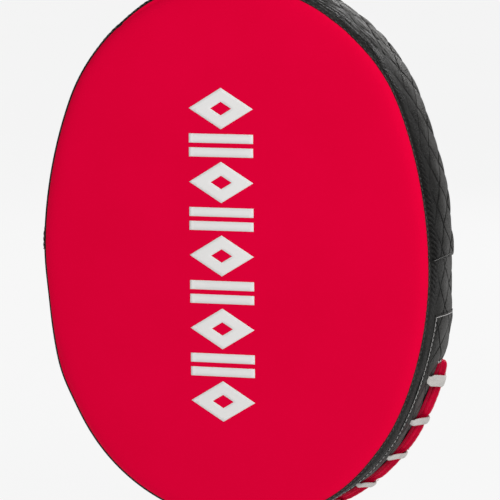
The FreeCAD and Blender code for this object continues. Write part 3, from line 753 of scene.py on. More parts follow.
def wall_points(s, upper):
    """Points and UV map of a wall piece; depth equals y on the band and runs on round the
    corner."""
    prof, normal = wall_profile(0.6)
    step_y = np.concatenate([[0], np.cumsum(np.hypot(*np.diff(prof, axis=0).T))])
    depth = (step_y + np.interp(-30.0, prof[:, 1], prof[:, 1] - step_y))[:, None]
    S, OFF = np.broadcast_arrays(s[None, :], prof[:, 0][:, None])
    Y = np.broadcast_to(prof[:, 1][:, None], S.shape)
    relief, uv = wall_relief(S, depth, upper)
    z = outline(s)[1]
    if upper:
        step = 1.10 * (1 - smoothstep(LAP_HIGH - 2, LAP_HIGH + 9, z)) * smoothstep(-49.6, -46, Y)
        relief = relief + step
    else:
        under = (smoothstep(HEEL_FRONT, HEEL_FRONT + 1.5, Y)
                 * (1 - smoothstep(HEEL_TOP - 2, HEEL_TOP, z)))
        relief = relief * (1 - under) - 0.7 * under * (1 - smoothstep(CORNER_Y, CORNER_Y + 3, Y))
    off = OFF + relief * normal[:, 0][:, None]
    y = Y + relief * normal[:, 1][:, None]
    return rim_point(S, off, y), uv


def build_wall():
    gap = 0.75
    low, high = arc_length_at(LAP_LOW), arc_length_at(LAP_HIGH - 3)
    s = np.linspace(low, UPPER_LENGTH - low, int((UPPER_LENGTH - 2 * low) / gap))
    pts, uv = wall_points(s, True)
    turned = []                         # the cut ends of the upper piece are turned in
    for column, end in ((pts[:, :1], s[0]), (pts[:, -1:], s[-1])):
        _, _, nx, nz = outline(end)
        turned.append(column - np.array([nx * 1.3, 0.0, nz * 1.3 - 0.25]))
    pts = np.concatenate([turned[0], pts, turned[1]], axis=1)
    uv = np.concatenate([uv[:, :1], uv, uv[:, -1:]], axis=1)
    keep(grid_object("wall_upper", pts, M["quilt"], flip=True, uv=uv),
         nodes=("gusset_upper",))
    s = np.linspace(UPPER_LENGTH - high, PERIMETER + high, int((PERIMETER - UPPER_LENGTH) / gap))
    pts, uv = wall_points(s, False)
    keep(grid_object("wall_lower", pts, M["wall"], flip=True, uv=uv),
         nodes=("gusset_lower",))


def on_wall(s, y, lift=0.0):
    """Points and outward directions on the wall's main band (not the corner)."""
    return rim_point(s, WALL_OUT + lift, y), direction(s + 0 * y, 1.0, 0.0)


def build_seams():
    """Threads of the rim seam, its topstitch and the lap join."""
    s = np.linspace(0, PERIMETER, 1400)
    rows = stitches_along(rim_point(s, 0.95, -49.68), direction(s, 1.0, -0.6), 3.3)
    sew("rim_topstitch", rows, "seam_thread", 0.18, 0.6)
    rows = []
    rng = random.Random(11)
    d = 2.0
    while d < PERIMETER - 2:
        a = rim_point(d, -0.25, RIM_Y - 0.30)
        b = rim_point(d + 0.35, 0.35, RIM_Y + 0.55)
        rows.append((a, b, direction(d, 1.0, -1.0)))
        d += 6.6 + rng.uniform(-0.8, 0.8)
    sew("rim_seam_ticks", rows, "dark_thread", 0.10, 1.0)
    rows = []
    for right in (True, False):
        y = np.linspace(-49.0 if right else -41.0, -8, 40)
        s = np.full(len(y), arc_length_at(LAP_LOW + 1.3, right))
        rows += stitches_along(*on_wall(s, y, 1.37), 3.2)
    sew("lap_stitches", rows, "grey_thread", 0.24, 0.55)


# ---------------------------------------------------------------- heel panel
def corner_path(lift, front_y, lean, step=0.9):
    """(off, y) and outward direction of a layer on the wall and round its rear corner."""
    pts, nrm = [], []
    n = max(2, int((CORNER_Y - front_y) / step))
    for y in np.linspace(front_y, CORNER_Y, n):
        pts.append((WALL_OUT + lift, y))
        nrm.append((1.0, 0.0))
    for a in np.linspace(0, math.radians(lean), 9)[1:]:
        r = CORNER_R + lift
        pts.append((CORNER_OFF + r * math.cos(a), CORNER_Y + r * math.sin(a)))
        nrm.append((math.cos(a), math.sin(a)))
    return np.array(pts), np.array(nrm)


def layer_grid(s, path, normal, relief):
    """Points of a layer: a path (off, y) carried along the arc lengths, plus its relief."""
    S = np.broadcast_to(s[None, :], (len(path), len(s)))
    off = path[:, 0][:, None] + relief * normal[:, 0][:, None]
    y = path[:, 1][:, None] + relief * normal[:, 1][:, None]
    return rim_point(S, off, y)


def build_heel():
    s0, s1 = arc_length_at(HEEL_TOP, False), arc_length_at(HEEL_TOP, True)
    s = np.linspace(s0, s1, 620)
    path, normal = corner_path(0.55, HEEL_FRONT, 64, 0.6)
    S, Y = np.meshgrid(s, path[:, 1])
    flat = np.stack([S, Y, 0 * S], -1)
    slack = fbm(flat, 24.0, 9.0, 2)
    crease = fbm(flat * np.array([0.55, 1.0, 1.0]), 4.5, 2.0, 3)
    relief = 0.28 * slack + 0.14 * crease + 0.45 * (lattice(S - PERIMETER, Y) - 0.7)
    # the heel stands out where it runs in behind the right end of the roll
    relief += 2.0 * np.exp(-((S - PERIMETER + 52) / 9.0) ** 2) * smoothstep(-30, -12, Y)
    edge = np.minimum(Y - HEEL_FRONT, np.minimum(S - s0, s1 - S))
    relief = (relief * smoothstep(0, 4, edge) - 0.08 * np.exp(-((edge - 1.4) / 0.5) ** 2)
              - 0.43 * (1 - smoothstep(0, 6, edge)))
    keep(grid_object("heel_overlay", layer_grid(s, path, normal, relief), M["wall"], flip=True,
                     uv=np.stack([S - PERIMETER, Y], -1)), nodes=("heel_panel",))
    inset, lift, pitch = 1.4, 0.28, 3.0
    along = np.linspace(s0 + inset, s1 - inset, 900)
    rows = []
    for a, b, out in stitches_along(*on_wall(along, HEEL_FRONT + inset + 0 * along, lift), pitch):
        half = (b - a) / 2 * (0.97 - 0.30 * smoothstep(-80, -105, a[2]))
        rows.append(((a + b) / 2 - half, (a + b) / 2 + half, out))
    y = np.linspace(HEEL_FRONT + inset, -7.0, 20)
    for end in (s0 + inset, s1 - inset):
        rows += stitches_along(*on_wall(end + 0 * y, y, lift), pitch)
    sew("heel_topstitch", rows, "heel_thread", 0.30, 1.0)


# ---------------------------------------------------------------- laced roll
ROLL_TOP, ROLL_R = -58.5, 3.4           # height where the roll ends, and its radius
LEAN = math.radians(43.0)               # the roll sits this far round the wall's corner
ROLL_OFF = CORNER_OFF + (CORNER_R + 1.0 + ROLL_R) * math.cos(LEAN)
ROLL_Y = CORNER_Y + (CORNER_R + 1.0 + ROLL_R) * math.sin(LEAN)
LACE_COUNT, LACE_GAP, LACE_W = 13, 12.9, 4.6     # wraps, first gap and width
LACE_SLANTS = (-0.10, 0.03, 0.09, 0.05)      # rise per depth of the first wraps
LACE_SHIFTS = (0.0, 0.3, 0.3, 2.2)           # how far they sit down the roll
FLANGE_FRONT = -10.0


def roll_stations():
    """Arc lengths of the lace wraps."""
    s0, s1 = arc_length_at(ROLL_TOP, False), arc_length_at(ROLL_TOP, True)
    ratio = (LOWER_END + WALL_OUT) / LOWER_END
    first, last = s0 + LACE_GAP / ratio, s1 - LACE_GAP / ratio
    return np.linspace(first, last, LACE_COUNT), s0, s1


def build_roll():
    stations, s0, s1 = roll_stations()
    s = np.linspace(s0, s1, 700)
    nip = np.exp(-(np.min(np.abs(s[:, None] - stations), axis=1) / 3.6) ** 2)
    from_end = np.minimum(s - s0, s1 - s)
    end = 1 - (1 - np.sqrt(np.clip(from_end / 4.5, 0, 1))) ** 2
    tuck = 1.3 * np.exp(-(from_end / 8.0) ** 2)
    lump = fbm(np.stack([s, 0 * s, 0 * s], -1), 14.0, 4.0, 2)
    ang = np.linspace(0, 2 * PI, 36, endpoint=False)
    crease = np.exp(-((np.mod(ang + 0.80 + PI, 2 * PI) - PI) / 0.24) ** 2)
    rows = []
    for i, at in enumerate(s):
        r = (ROLL_R + 0.45 - 0.85 * nip[i] + 0.22 * lump[i]) * (0.12 + 0.88 * end[i])
        wrinkle = 0.10 * np.sin(3 * ang + at * 0.9) * nip[i] + 0.05 * np.sin(5 * ang - at * 1.7)
        r = r + wrinkle - 1.35 * crease * end[i]
        off = ROLL_OFF - 0.35 * nip[i] - tuck[i] + r * np.cos(ang)
        rows.append(rim_point(at + 0 * ang, off, ROLL_Y + r * np.sin(ang) * (1 + 0.04 * lump[i])))
    keep(swept("laced_roll", rows, M["red"]), nodes=("edge_roll", "edge_roll_cord"))
    s = np.linspace(s0 + 6, s1 - 6, 900)
    ang = -0.15
    p = rim_point(s, ROLL_OFF + (ROLL_R + 0.25) * math.cos(ang),
                  ROLL_Y + (ROLL_R + 0.25) * math.sin(ang))
    rows = stitches_along(p, direction(s, math.cos(ang), math.sin(ang)), 4.0)
    sew("roll_stitches", rows, "red_thread", 0.2, 0.42)


def build_flange():
    stations, s0, s1 = roll_stations()
    s = np.linspace(s0 + 0.5, s1 - 0.5, 520)
    path, normal = corner_path(2.0, FLANGE_FRONT, 23, 0.5)
    S, Y = np.meshgrid(s, path[:, 1])
    near = np.min(np.abs(S[..., None] - stations), axis=-1)
    nip = np.exp(-((near + 0.25 * (Y + 8)) / 4.0) ** 2)
    flat = np.stack([S, Y, 0 * S], -1)
    relief = 0.45 * (1 - nip) + 0.22 * fbm(flat, 7.0, 6.0, 2) - 0.4
    relief -= 1.1 * (1 - smoothstep(0, 1.0, Y - FLANGE_FRONT))
    # the flange wears the darker red: painted shade under the roll
    keep(grid_object("roll_flange", layer_grid(s, path, normal, relief), M["dark_red"], flip=True),
         nodes=("edge_flange",))
    rows = []
    for s_end, sign in ((s0, 1), (s1, -1)):
        for k in range(2):
            a, _ = on_wall(np.array([s_end - sign * (1.2 + 0.2 * k)]), -12.5 + 4.0 * k, 1.3)
            b, out = on_wall(np.array([s_end + sign * 0.6]), -12.0 + 4.0 * k, 1.8)
            rows.append((a[0], b[0], out[0]))
    sew("roll_end_tacks", rows, "white_thread", 0.42, 1.0)


def wrap_path():
    """(off, y) of the lace's middle line: wall hole, over the flange and roll, back hole."""
    low, r = WALL_OUT + 2.0, ROLL_R + 0.75
    front = [(1.2, -19.0), (3.0, -18.8), (low - 0.2, -17.9), (low + 0.5, -14.5),
             (low + 1.5, -10.0), (low + 2.6, -5.5)]
    over = [(ROLL_OFF + r * math.cos(a), ROLL_Y + r * math.sin(a))
            for a in np.linspace(math.radians(-18), math.radians(112), 10)]
    rear = [(-1.8, 3.0), (-5.0, 1.7), (-8.2, 0.75), (-9.3, 0.2), (-9.6, -2.2)]
    return np.array(front + over + rear)


def smooth_path(points, count):
    """Catmull-Rom curve through points, evenly spaced."""
    p = np.concatenate([[2 * points[0] - points[1]], points, [2 * points[-1] - points[-2]]])
    out = []
    for i in range(1, len(p) - 2):
        t = np.linspace(0, 1, 9)[:-1][:, None]
        out.append(0.5 * ((2 * p[i]) + (-p[i - 1] + p[i + 1]) * t
                          + (2 * p[i - 1] - 5 * p[i] + 4 * p[i + 1] - p[i + 2]) * t ** 2
                          + (-p[i - 1] + 3 * p[i] - 3 * p[i + 1] + p[i + 2]) * t ** 3))
    out = np.concatenate(out + [points[-1:]])
    run = run_length(out)
    return resample(out, run, np.linspace(0, run[-1], count))


def rounded_band(width, thick, k=20):
    """Section of a flat lace: (normal, side)."""
    a = np.linspace(0, 2 * PI, k, endpoint=False)
    c, s = np.cos(a), np.sin(a)
    side = np.sign(c) * np.abs(c) ** 0.45 * width / 2
    norm = np.sign(s) * np.abs(s) ** 0.7 * thick / 2
    return np.stack([norm, side], 1)


def build_lace():
    stations, _, _ = roll_stations()
    last = len(stations) - 1
    rng = random.Random(5)
    line = smooth_path(wrap_path(), 44)
    tangent = path_frames(line)
    normal = np.stack([tangent[:, 1], -tangent[:, 0]], 1)
    u = np.linspace(0, 1, len(line))
    pinch = smoothstep(0.0, 0.16, u) * smoothstep(0.0, 0.12, 1 - u)
    pieces, ends = [], []
    for i, station in enumerate(stations):
        wide = (7.6 if i in (0, last) else LACE_W) + rng.uniform(-0.4, 0.4)
        near_end = min(i, last - i)
        slant = LACE_SLANTS[near_end] if near_end < 4 else rng.uniform(-0.05, 0.12)
        shift = LACE_SHIFTS[near_end] if near_end < 4 else 0.0
        if i < len(stations) / 2:
            slant, shift = -slant, -shift
        s = station - shift + (line[:, 1] - ROLL_Y) * slant + rng.uniform(-0.4, 0.4)
        pts = rim_point(s, *line.T)
        normals = direction(s, *normal.T)
        sections = []
        for k, open_here in zip(u, pinch):
            w = wide * (0.55 + 0.45 * open_here)
            section = rounded_band(w, 1.25 + 0.35 * (1 - open_here), 24)
            side = section[:, 1]
            curl = 0.32 * np.cos(PI * side / w) + 0.08 * math.sin(9 * k + i)
            pleat = 0.14 * np.sin(side * 2.1 + 3 * k + i * 1.7) * (1 - 0.5 * open_here)
            section[:, 0] += curl - 0.2 + pleat
            sections.append(section)
        pieces.append(tube(pts, normals, sections, M["lace"], "wrap"))
        ends.append((pts[0], pts[-1]))
    t = np.linspace(0, 1, 8)[:, None]
    normals = np.tile([0.0, 1.0, 0.3], (8, 1))
    for (_, a), (b, _) in zip(ends[:-1], ends[1:]):
        pieces.append(tube(a + (b - a) * t, normals, [rounded_band(2.2, 1.6, 12)] * 8, M["lace"],
                           "run"))
    keep(fix_normals(join_objects(pieces, "lace_binding")), nodes=("lace",))


def join_objects(objs, name):
    """Join meshes into the first one and rename it."""
    bm = bmesh.new()
    for o in objs:
        bm.from_mesh(o.data)
    mesh = bpy.data.meshes.new(name)
    bm.to_mesh(mesh)
    bm.free()
    for m in objs[0].data.materials:
        mesh.materials.append(m)
    mesh.polygons.foreach_set("use_smooth", [True] * len(mesh.polygons))
    obj = bpy.data.objects.new(name, mesh)
    bpy.context.scene.collection.objects.link(obj)
    for o in objs:
        bpy.data.objects.remove(o)
    return obj


# ---------------------------------------------------------------- back panel
def build_back():
    insets = np.concatenate([[-0.3, 0.2, 1.0, 2.2], np.linspace(3.5, 107.0, 46)])
    around = 600
    s = np.arange(around) * PERIMETER / around
    pts = np.array([rim_point(s, -inset - 0.9, 0) for inset in insets])
    uneven = ring_noise(pts, 38.0, 8.0, 3) - 0.6
    edge, groove, inner = (v[:, None] for v in (1 - smoothstep(-0.3, 1.6, insets),
                                                np.exp(-((insets - 3.4) / 0.8) ** 2),
                                                smoothstep(3, 14, insets)))
    pts[..., 1] = -0.05 - 1.5 * edge - 0.35 * groove + 0.28 * uneven * inner
    obj = disc_panel("back_panel", pts, (0.0, -0.1, 2.0), M["black"], 1)
    keep(obj, nodes=("back_cover",))
    s = np.linspace(0, PERIMETER, 1300)
    rows = stitches_along(rim_point(s, -4.3, -0.28), BACKWARD, 4.0)
    sew("back_edge_stitches", rows, "grey_thread", 0.3, 0.7)


# ---------------------------------------------------------------- cushion
CUSH_X, CUSH_TOP, CUSH_BOTTOM, CUSH_T = 42.0, 68.0, -112.0, 8.0
CUSH_MIDDLE, CUSH_Z = (CUSH_TOP + CUSH_BOTTOM) / 2, (CUSH_TOP - CUSH_BOTTOM) / 2
CUSH_CORNER = 16.0
CUSH_INSET = 1.2                # the pillow ends this far inside the outline of its cover
CHANNELS = (-67.0, -22.0, 23.0)


def rounded_rect(half_x, z0, z1, corner, count):
    """Closed rounded rectangle in the XZ plane, evenly spaced, with outward directions."""
    pts = []
    corners = [(half_x - corner, z1 - corner, 0.0), (-half_x + corner, z1 - corner, PI / 2),
               (-half_x + corner, z0 + corner, PI), (half_x - corner, z0 + corner, 3 * PI / 2)]
    for cx, cz, a0 in corners:
        for a in np.linspace(a0, a0 + PI / 2, 24):
            pts.append((cx + corner * math.cos(a), cz + corner * math.sin(a)))
    pts = np.array(pts + [pts[0]])
    run = run_length(pts)
    xz = resample(pts, run, np.linspace(0, run[-1], count, endpoint=False))
    t = np.roll(xz, -1, axis=0) - np.roll(xz, 1, axis=0)
    t /= np.linalg.norm(t, axis=1, keepdims=True)
    return xz, np.stack([t[:, 1], -t[:, 0]], 1)


def read_verts(obj):
    """Vertex positions in metres."""
    co = np.empty(len(obj.data.vertices) * 3)
    obj.data.vertices.foreach_get("co", co)
    return co.reshape(-1, 3)


def build_cushion():
    """Forearm cushion: a closed pillow, swollen by cloth pressure, then stitched down."""
    bm = bmesh.new()
    bmesh.ops.create_cube(bm, size=1.0)
    for v in bm.verts:
        v.co.x *= (2 * CUSH_X - 4) * SCALE
        v.co.z = (v.co.z * (2 * CUSH_Z - 4) + CUSH_MIDDLE) * SCALE
        v.co.y = (v.co.y * (CUSH_T - 3.2) + CUSH_T / 2 - 0.3) * SCALE
    upright = [e for e in bm.edges if abs(e.verts[0].co.y - e.verts[1].co.y) > SCALE]
    bmesh.ops.bevel(bm, geom=upright, offset=CUSH_CORNER * SCALE, segments=8, affect="EDGES")
    mesh = bpy.data.meshes.new("arm_cushion")
    bm.to_mesh(mesh)
    bm.free()
    obj = bpy.data.objects.new("arm_cushion", mesh)
    bpy.context.scene.collection.objects.link(obj)
    bpy.ops.object.select_all(action="DESELECT")
    obj.select_set(True)
    bpy.context.view_layer.objects.active = obj
    remesh = obj.modifiers.new("remesh", "REMESH")
    remesh.mode = "VOXEL"
    remesh.voxel_size = 2.2 * SCALE
    bpy.ops.object.modifier_apply(modifier="remesh")
    start = read_verts(obj)
    inflate(obj)
    move = read_verts(obj) - start
    length = np.linalg.norm(move, axis=1, keepdims=True)
    move *= np.minimum(1.0, 3.5 * SCALE / np.maximum(length, 1e-9))
    pts = shape_pillow((start + move) / SCALE)
    obj.data.vertices.foreach_set("co", (pts * SCALE).ravel())
    obj.data.update()
    sub = obj.modifiers.new("smooth", "SUBSURF")
    sub.levels = sub.render_levels = 1
    obj.data.materials.append(M["black"])
    obj.data.polygons.foreach_set("use_smooth", [True] * len(obj.data.polygons))
    keep(obj, nodes=("cushion_cover", "cushion_foam"))
    build_piping()
    rows = []
    for z in CHANNELS:
        x = np.linspace(-33, 33, 30)
        p = np.stack([x, 4.45 - 1.2 * (x / 33.0) ** 6, z + 0 * x], 1)
        rows += stitches_along(p, BACKWARD, 4.0)
    sew("cushion_stitches", rows, "grey_thread", 0.3, 0.7)


def inflate(obj):
    """Swell a closed mesh by pressure, as cloth."""
    cloth = obj.modifiers.new("cloth", "CLOTH")
    cloth.settings.use_pressure = True
    cloth.settings.uniform_pressure_force = 4.0
    cloth.settings.effector_weights.gravity = 0.0
    cloth.settings.quality = 6
    cloth.settings.tension_stiffness = 12
    cloth.settings.bending_stiffness = 0.6
    cloth.point_cache.frame_start, cloth.point_cache.frame_end = 1, 16
    for f in range(1, 17):
        bpy.context.scene.frame_set(f)
    bpy.ops.object.modifier_apply(modifier="cloth")
    bpy.context.scene.frame_set(1)


def shape_pillow(pts):
    """Draw the pillow out to its sewn edge, swell it from there and press in the channels."""
    half_x, half_z = CUSH_X - CUSH_INSET, CUSH_Z - CUSH_INSET
    pts[:, 0] *= half_x / np.abs(pts[:, 0]).max()
    z = pts[:, 2] - CUSH_MIDDLE
    pts[:, 2] = CUSH_MIDDLE + z * half_z / np.abs(z).max()
    dx = np.abs(pts[:, 0]) - (half_x - CUSH_CORNER)
    dz = np.abs(pts[:, 2] - CUSH_MIDDLE) - (half_z - CUSH_CORNER)
    inset = (CUSH_CORNER - np.hypot(np.maximum(dx, 0), np.maximum(dz, 0))
             - np.minimum(np.maximum(dx, dz), 0))
    pts[:, 1] *= 0.22 + 0.83 * np.sqrt(1 - (1 - np.clip(inset / 13.0, 0, 1)) ** 2)
    for channel in CHANNELS:
        dip = np.exp(-((pts[:, 2] - channel) / 3.4) ** 2)
        pts[:, 1] -= dip * np.clip(pts[:, 1] - 2.6, 0, None) * 0.62
    pts[:, 1] += 0.35 * fbm(pts, 17.0, 12.0, 3) * smoothstep(3, 6, pts[:, 1])
    pts[:, 1] = np.clip(pts[:, 1], 0.15, CUSH_T + 0.9)      # flat underneath, on the panel
    return pts


def build_piping():
    """Round piping along the foot of the cushion."""
    xz, out = rounded_rect(CUSH_X - 0.6, CUSH_BOTTOM + 0.6, CUSH_TOP - 0.6, 17.0, 420)
    ring = np.stack([xz[:, 0], 1.15 + 0 * xz[:, 0], xz[:, 1]], 1)
    out = np.stack([out[:, 0], 0 * out[:, 0], out[:, 1]], 1)
    a = np.linspace(0, 2 * PI, 12, endpoint=False)[None, :, None]
    radius = 1.15 + 0.06 * fbm(ring, 5.0, 2.0, 2)[:, None, None]
    around = np.cos(a) * out[:, None, :] + np.sin(a) * np.array(BACKWARD)
    pipe = grid_object("cushion_piping", ring[:, None, :] + radius * around, M["red"],
                       wrap_rows=True, wrap_cols=True)
    keep(fix_normals(pipe))


# ---------------------------------------------------------------- grip
GRIP_Y, GRIP_Z, GRIP_R, GRIP_HALF = 44.0, 100.0, 14.0, 76.0
LOOP_IN, LOOP_OUT, LOOP_T = 50.0, 72.0, 2.2     # edges of a sling, and its thickness
STITCH_INSET = 2.2                  # from the edge of a patch to its stitches


def build_grip():
    """Wrapped leather bar: slightly barrelled, with a sewn seam and gathered end caps."""
    turn = GRIP_HALF - 4 * (1 - np.cos(np.linspace(0, PI / 2, 10)))
    x = np.concatenate([-turn, np.linspace(-71, 71, 150), turn[::-1]])
    ang = np.linspace(0, 2 * PI, 96, endpoint=False)
    X, A = np.meshgrid(x, ang, indexing="ij")
    from_end = GRIP_HALF - np.abs(X)
    end = np.clip(from_end / 4.0, 0, 1)
    r = (GRIP_R - 4.2 * (1 - np.sqrt(1 - (1 - end) ** 2))
         + 0.25 * np.where(np.abs(X) < LOOP_IN, np.cos(X / LOOP_IN * PI / 2), 0)
         + 0.07 * np.sin(6 * A + 0.13 * X)
         + 0.10 * fbm(np.stack([X, 14 * np.cos(A), 14 * np.sin(A)], -1), 9.0, 21.0, 2)
         + 0.22 * np.cos(18 * A) * (1 - smoothstep(0, 7, from_end))
         - 0.5 * np.exp(-((np.mod(A - PI * 0.5 + PI, 2 * PI) - PI) / 0.05) ** 2))
    middle = np.array([GRIP_Y, GRIP_Z])
    pts = np.stack([X, GRIP_Y + r * np.sin(A), GRIP_Z + r * np.cos(A)], -1)
    caps = []
    for sign, ring in ((-1, pts[0]), (1, pts[-1])):
        for q in np.linspace(0.92, 0.0, 7):
            row = ring.copy()
            row[:, 0] = sign * (GRIP_HALF - 0.15 + 0.25 * math.cos(q * PI))
            row[:, 1:] = middle + (row[:, 1:] - middle) * q
            caps.append(row)
    obj = grid_object("grip_sleeve", np.concatenate([caps[6::-1], pts, caps[7:]]), M["red"],
                      wrap_cols=True)
    keep(fix_normals(obj), "grip", ("grip_cover",))
    x = np.linspace(-48, 48, 60)
    rows = []
    for lift in (1.4, -1.4):            # two rows, one on each side of the seam
        p = np.stack([x, GRIP_Y + GRIP_R + 0.05 + 0 * x, GRIP_Z + lift + 0 * x], 1)
        rows += stitches_along(p, BACKWARD, 3.6)
    sew("grip_stitches", rows, "white_thread", 0.3, 0.75, "grip")


def build_sling(side):
    """Leather loop round the bar whose doubled neck bends into the tab on the panel."""
    suffix = "right" if side > 0 else "left"
    x0, x1 = sorted((side * LOOP_IN, side * LOOP_OUT))
    R = GRIP_R + 0.35 + LOOP_T / 2
    # from one foot on the tab, up the neck, round the bar and back down to the other foot
    foot = [(-19.0, 3.3), (-12.0, 3.3), (-7.0, 3.5), (-3.6, 4.6), (-2.0, 7.0), (-1.35, 11.0),
            (-1.25, 18.0), (-1.3, 23.5), (-2.6, 27.0)]
    bar = [(R * math.cos(a), GRIP_Y + R * math.sin(a))
           for a in np.linspace(math.radians(-112), math.radians(-428), 40)]
    line = smooth_path(np.array(foot + bar + [(-z, y) for z, y in foot[::-1]]), 170)
    t = path_frames(line)
    n = np.stack([t[:, 1], -t[:, 0]], 1)
    half_way = len(line) // 2
    if np.dot(n[half_way], line[half_way] - np.array([0.0, GRIP_Y])) < 0:
        n = -n
    across = np.linspace(0, 1, 15)
    thick = LOOP_T / 2 * (0.35 + 0.65 * (1 - (2 * np.abs(across - 0.5)) ** 10))
    x = x0 + (x1 - x0) * across
    rows = []
    for i, (z, y) in enumerate(line):
        wave = 0.06 * math.sin(i * 0.35)
        outer, inner = thick + wave, wave - thick
        rows.append(np.concatenate([
            np.stack([x, y + n[i, 1] * outer, GRIP_Z + z + n[i, 0] * outer], 1),
            np.stack([x, y + n[i, 1] * inner, GRIP_Z + z + n[i, 0] * inner], 1)[::-1]]))
    obj = swept("grip_sling_" + suffix, rows, M["black"])
    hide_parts("grip_loop_" + suffix)
    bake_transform(obj)
    rows = []
    a = np.linspace(math.radians(-60), math.radians(240), 60)
    r = R + LOOP_T / 2 + 0.05
    for x in (x0 + STITCH_INSET, x1 - STITCH_INSET):
        p = np.stack([x + 0 * a, GRIP_Y + r * np.sin(a), GRIP_Z + r * np.cos(a)], 1)
        rows += stitches_along(p, np.stack([0 * a, np.sin(a), np.cos(a)], 1), 3.4)
    sew("sling_stitches_" + suffix, rows, "white_thread", 0.28, 0.75, "grip")


def plate_piece(name, x0, x1, z0, z1, y0, thick, corner, material, crown):
    """Sewn leather patch: rounded plate with a soft edge and a pressed stitch line."""
    count = 180
    half = (x1 - x0) / 2
    profile = [(0.0, 0.0), (-0.15, 0.45), (0.15, 0.8), (0.7, 0.97), (1.4, 1.0),
               (STITCH_INSET - 0.3, 0.9), (STITCH_INSET, 0.78), (STITCH_INSET + 0.3, 0.9),
               (STITCH_INSET + 1.0, 1.0)]
    span = min(half, (z1 - z0) / 2) * 0.96
    profile += [(d, 1.0 + crown / thick * 0.5) for d in np.linspace(STITCH_INSET + 2.2, span, 7)]
    rows = []
    for inset, level in profile:
        h = max(half - inset, 0.3)
        middle, half_z = (z0 + z1) / 2, max((z1 - z0) / 2 - inset, 0.3)
        c = min(max(corner - inset, 0.4), h * 0.98, half_z * 0.98)
        xz, _ = rounded_rect(h, middle - half_z, middle + half_z, c, count)
        rows.append(np.stack([xz[:, 0] + (x0 + x1) / 2, y0 + thick * level + 0 * xz[:, 0],
                              xz[:, 1]], 1))
    pts = np.array(rows)
    pts[2:, :, 1] += 0.12 * fbm(pts[2:], 9.0, x0 * 0.1, 2)
    return swept(name, pts, material)


def patch_stitches(x0, x1, z0, z1, y, corner):
    """Stitches round a patch, in its pressed line."""
    xz, _ = rounded_rect((x1 - x0) / 2 - STITCH_INSET, z0 + STITCH_INSET, z1 - STITCH_INSET,
                         max(corner - STITCH_INSET, 0.8), 160)
    xz = np.concatenate([xz, xz[:1]])
    p = np.stack([xz[:, 0] + (x0 + x1) / 2, y + 0 * xz[:, 0], xz[:, 1]], 1)
    return stitches_along(p, BACKWARD, 3.4)


def build_tabs():
    rows = []
    for name, x0, x1 in (("right", 46.0, 76.0), ("left", -76.0, -46.0)):
        place = (x0, x1, 78.0, 122.0)
        keep(plate_piece("grip_anchor_" + name, *place, 0.0, 2.35, 6.0, M["black"], 0.1),
             nodes=("grip_tab_" + name,))
        rows += patch_stitches(*place, 2.0, 6.0)
    sew("anchor_stitches", rows, "white_thread", 0.28, 0.75)


# ---------------------------------------------------------------- straps
STRAPS = {"upper": (30.0, 72.0, 60.0), "lower": (-62.0, 74.0, 70.0)}    # height, radius, top
STRAP_W, WEB, WIRE, FREE = 44.0, 2.0, 1.75, 0.3     # width, thickness, wire radius, gap
REACH = 15.0                            # from one long bar of the ring to the other
FOOT_R, FOOT_RUN = 8.0, 17.0            # bend and sewn length of the strap's foot
TAPE, SWEEP = 1.8, 78.0                 # hook and loop thickness; degrees the tail runs back
LAYER = WIRE + FREE + WEB / 2
KEEPER_WEB, KEEPER_RUN = 1.6, 20.0
KEEPER_Y = WIRE + FREE + KEEPER_WEB + 0.05


def strap_frame(which):
    """Centre of the arch, angle of the ring's inner bar, and the places of both its bars."""
    _, radius, top = STRAPS[which]
    centre = top - radius
    rise = math.asin((KEEPER_Y - centre) / math.hypot(radius, REACH)) + math.atan2(REACH, radius)
    bar = (-radius * math.cos(rise), centre + radius * math.sin(rise))
    keeper = (bar[0] - REACH * math.sin(rise), bar[1] - REACH * math.cos(rise))
    return centre, PI - rise, bar, keeper


def web_strip(name, line, which, look, width=STRAP_W, thick=WEB, cupping=0.0):
    """Webbing along an XY line at the strap's height: rounded selvedges and slight cupping."""
    z_mid = STRAPS[which][0]
    t = path_frames(line)
    normal = np.stack([-t[:, 1], t[:, 0]], 1)
    across = np.linspace(-1, 1, 25)
    edge = np.sqrt(np.clip(1 - np.abs(across) ** 14, 0, 1))
    half = thick / 2 * (0.30 + 0.70 * edge)
    selvedge = 0.12 * np.exp(-((np.abs(across) - 0.93) / 0.03) ** 2)
    rows, uvs = [], []
    both = np.concatenate([across, across[::-1]])
    for at, point, n in zip(run_length(line), line, normal):
        cup = cupping * math.sin(at * 0.07 + z_mid) * across ** 2
        height = np.concatenate([half + selvedge * thick * 0.4 + cup, (cup - half)[::-1]])
        xy = point + height[:, None] * n
        z = z_mid + both * width * (1 + 0.004 * math.sin(at * 0.11)) / 2
        rows.append(np.column_stack([xy, z]))
        uvs.append(np.stack([at + 0 * both, both * width / 2], 1))
    return swept(name, rows, M[look], uv=np.concatenate(uvs))


def arc_line(cx, cy, r, a0, a1, step=1.2):
    """Points of an arc in XY, about a step apart."""
    n = max(4, int(abs(a1 - a0) * r / step))
    a = np.linspace(a0, a1, n)
    return np.stack([cx + r * np.cos(a), cy + r * np.sin(a)], 1)


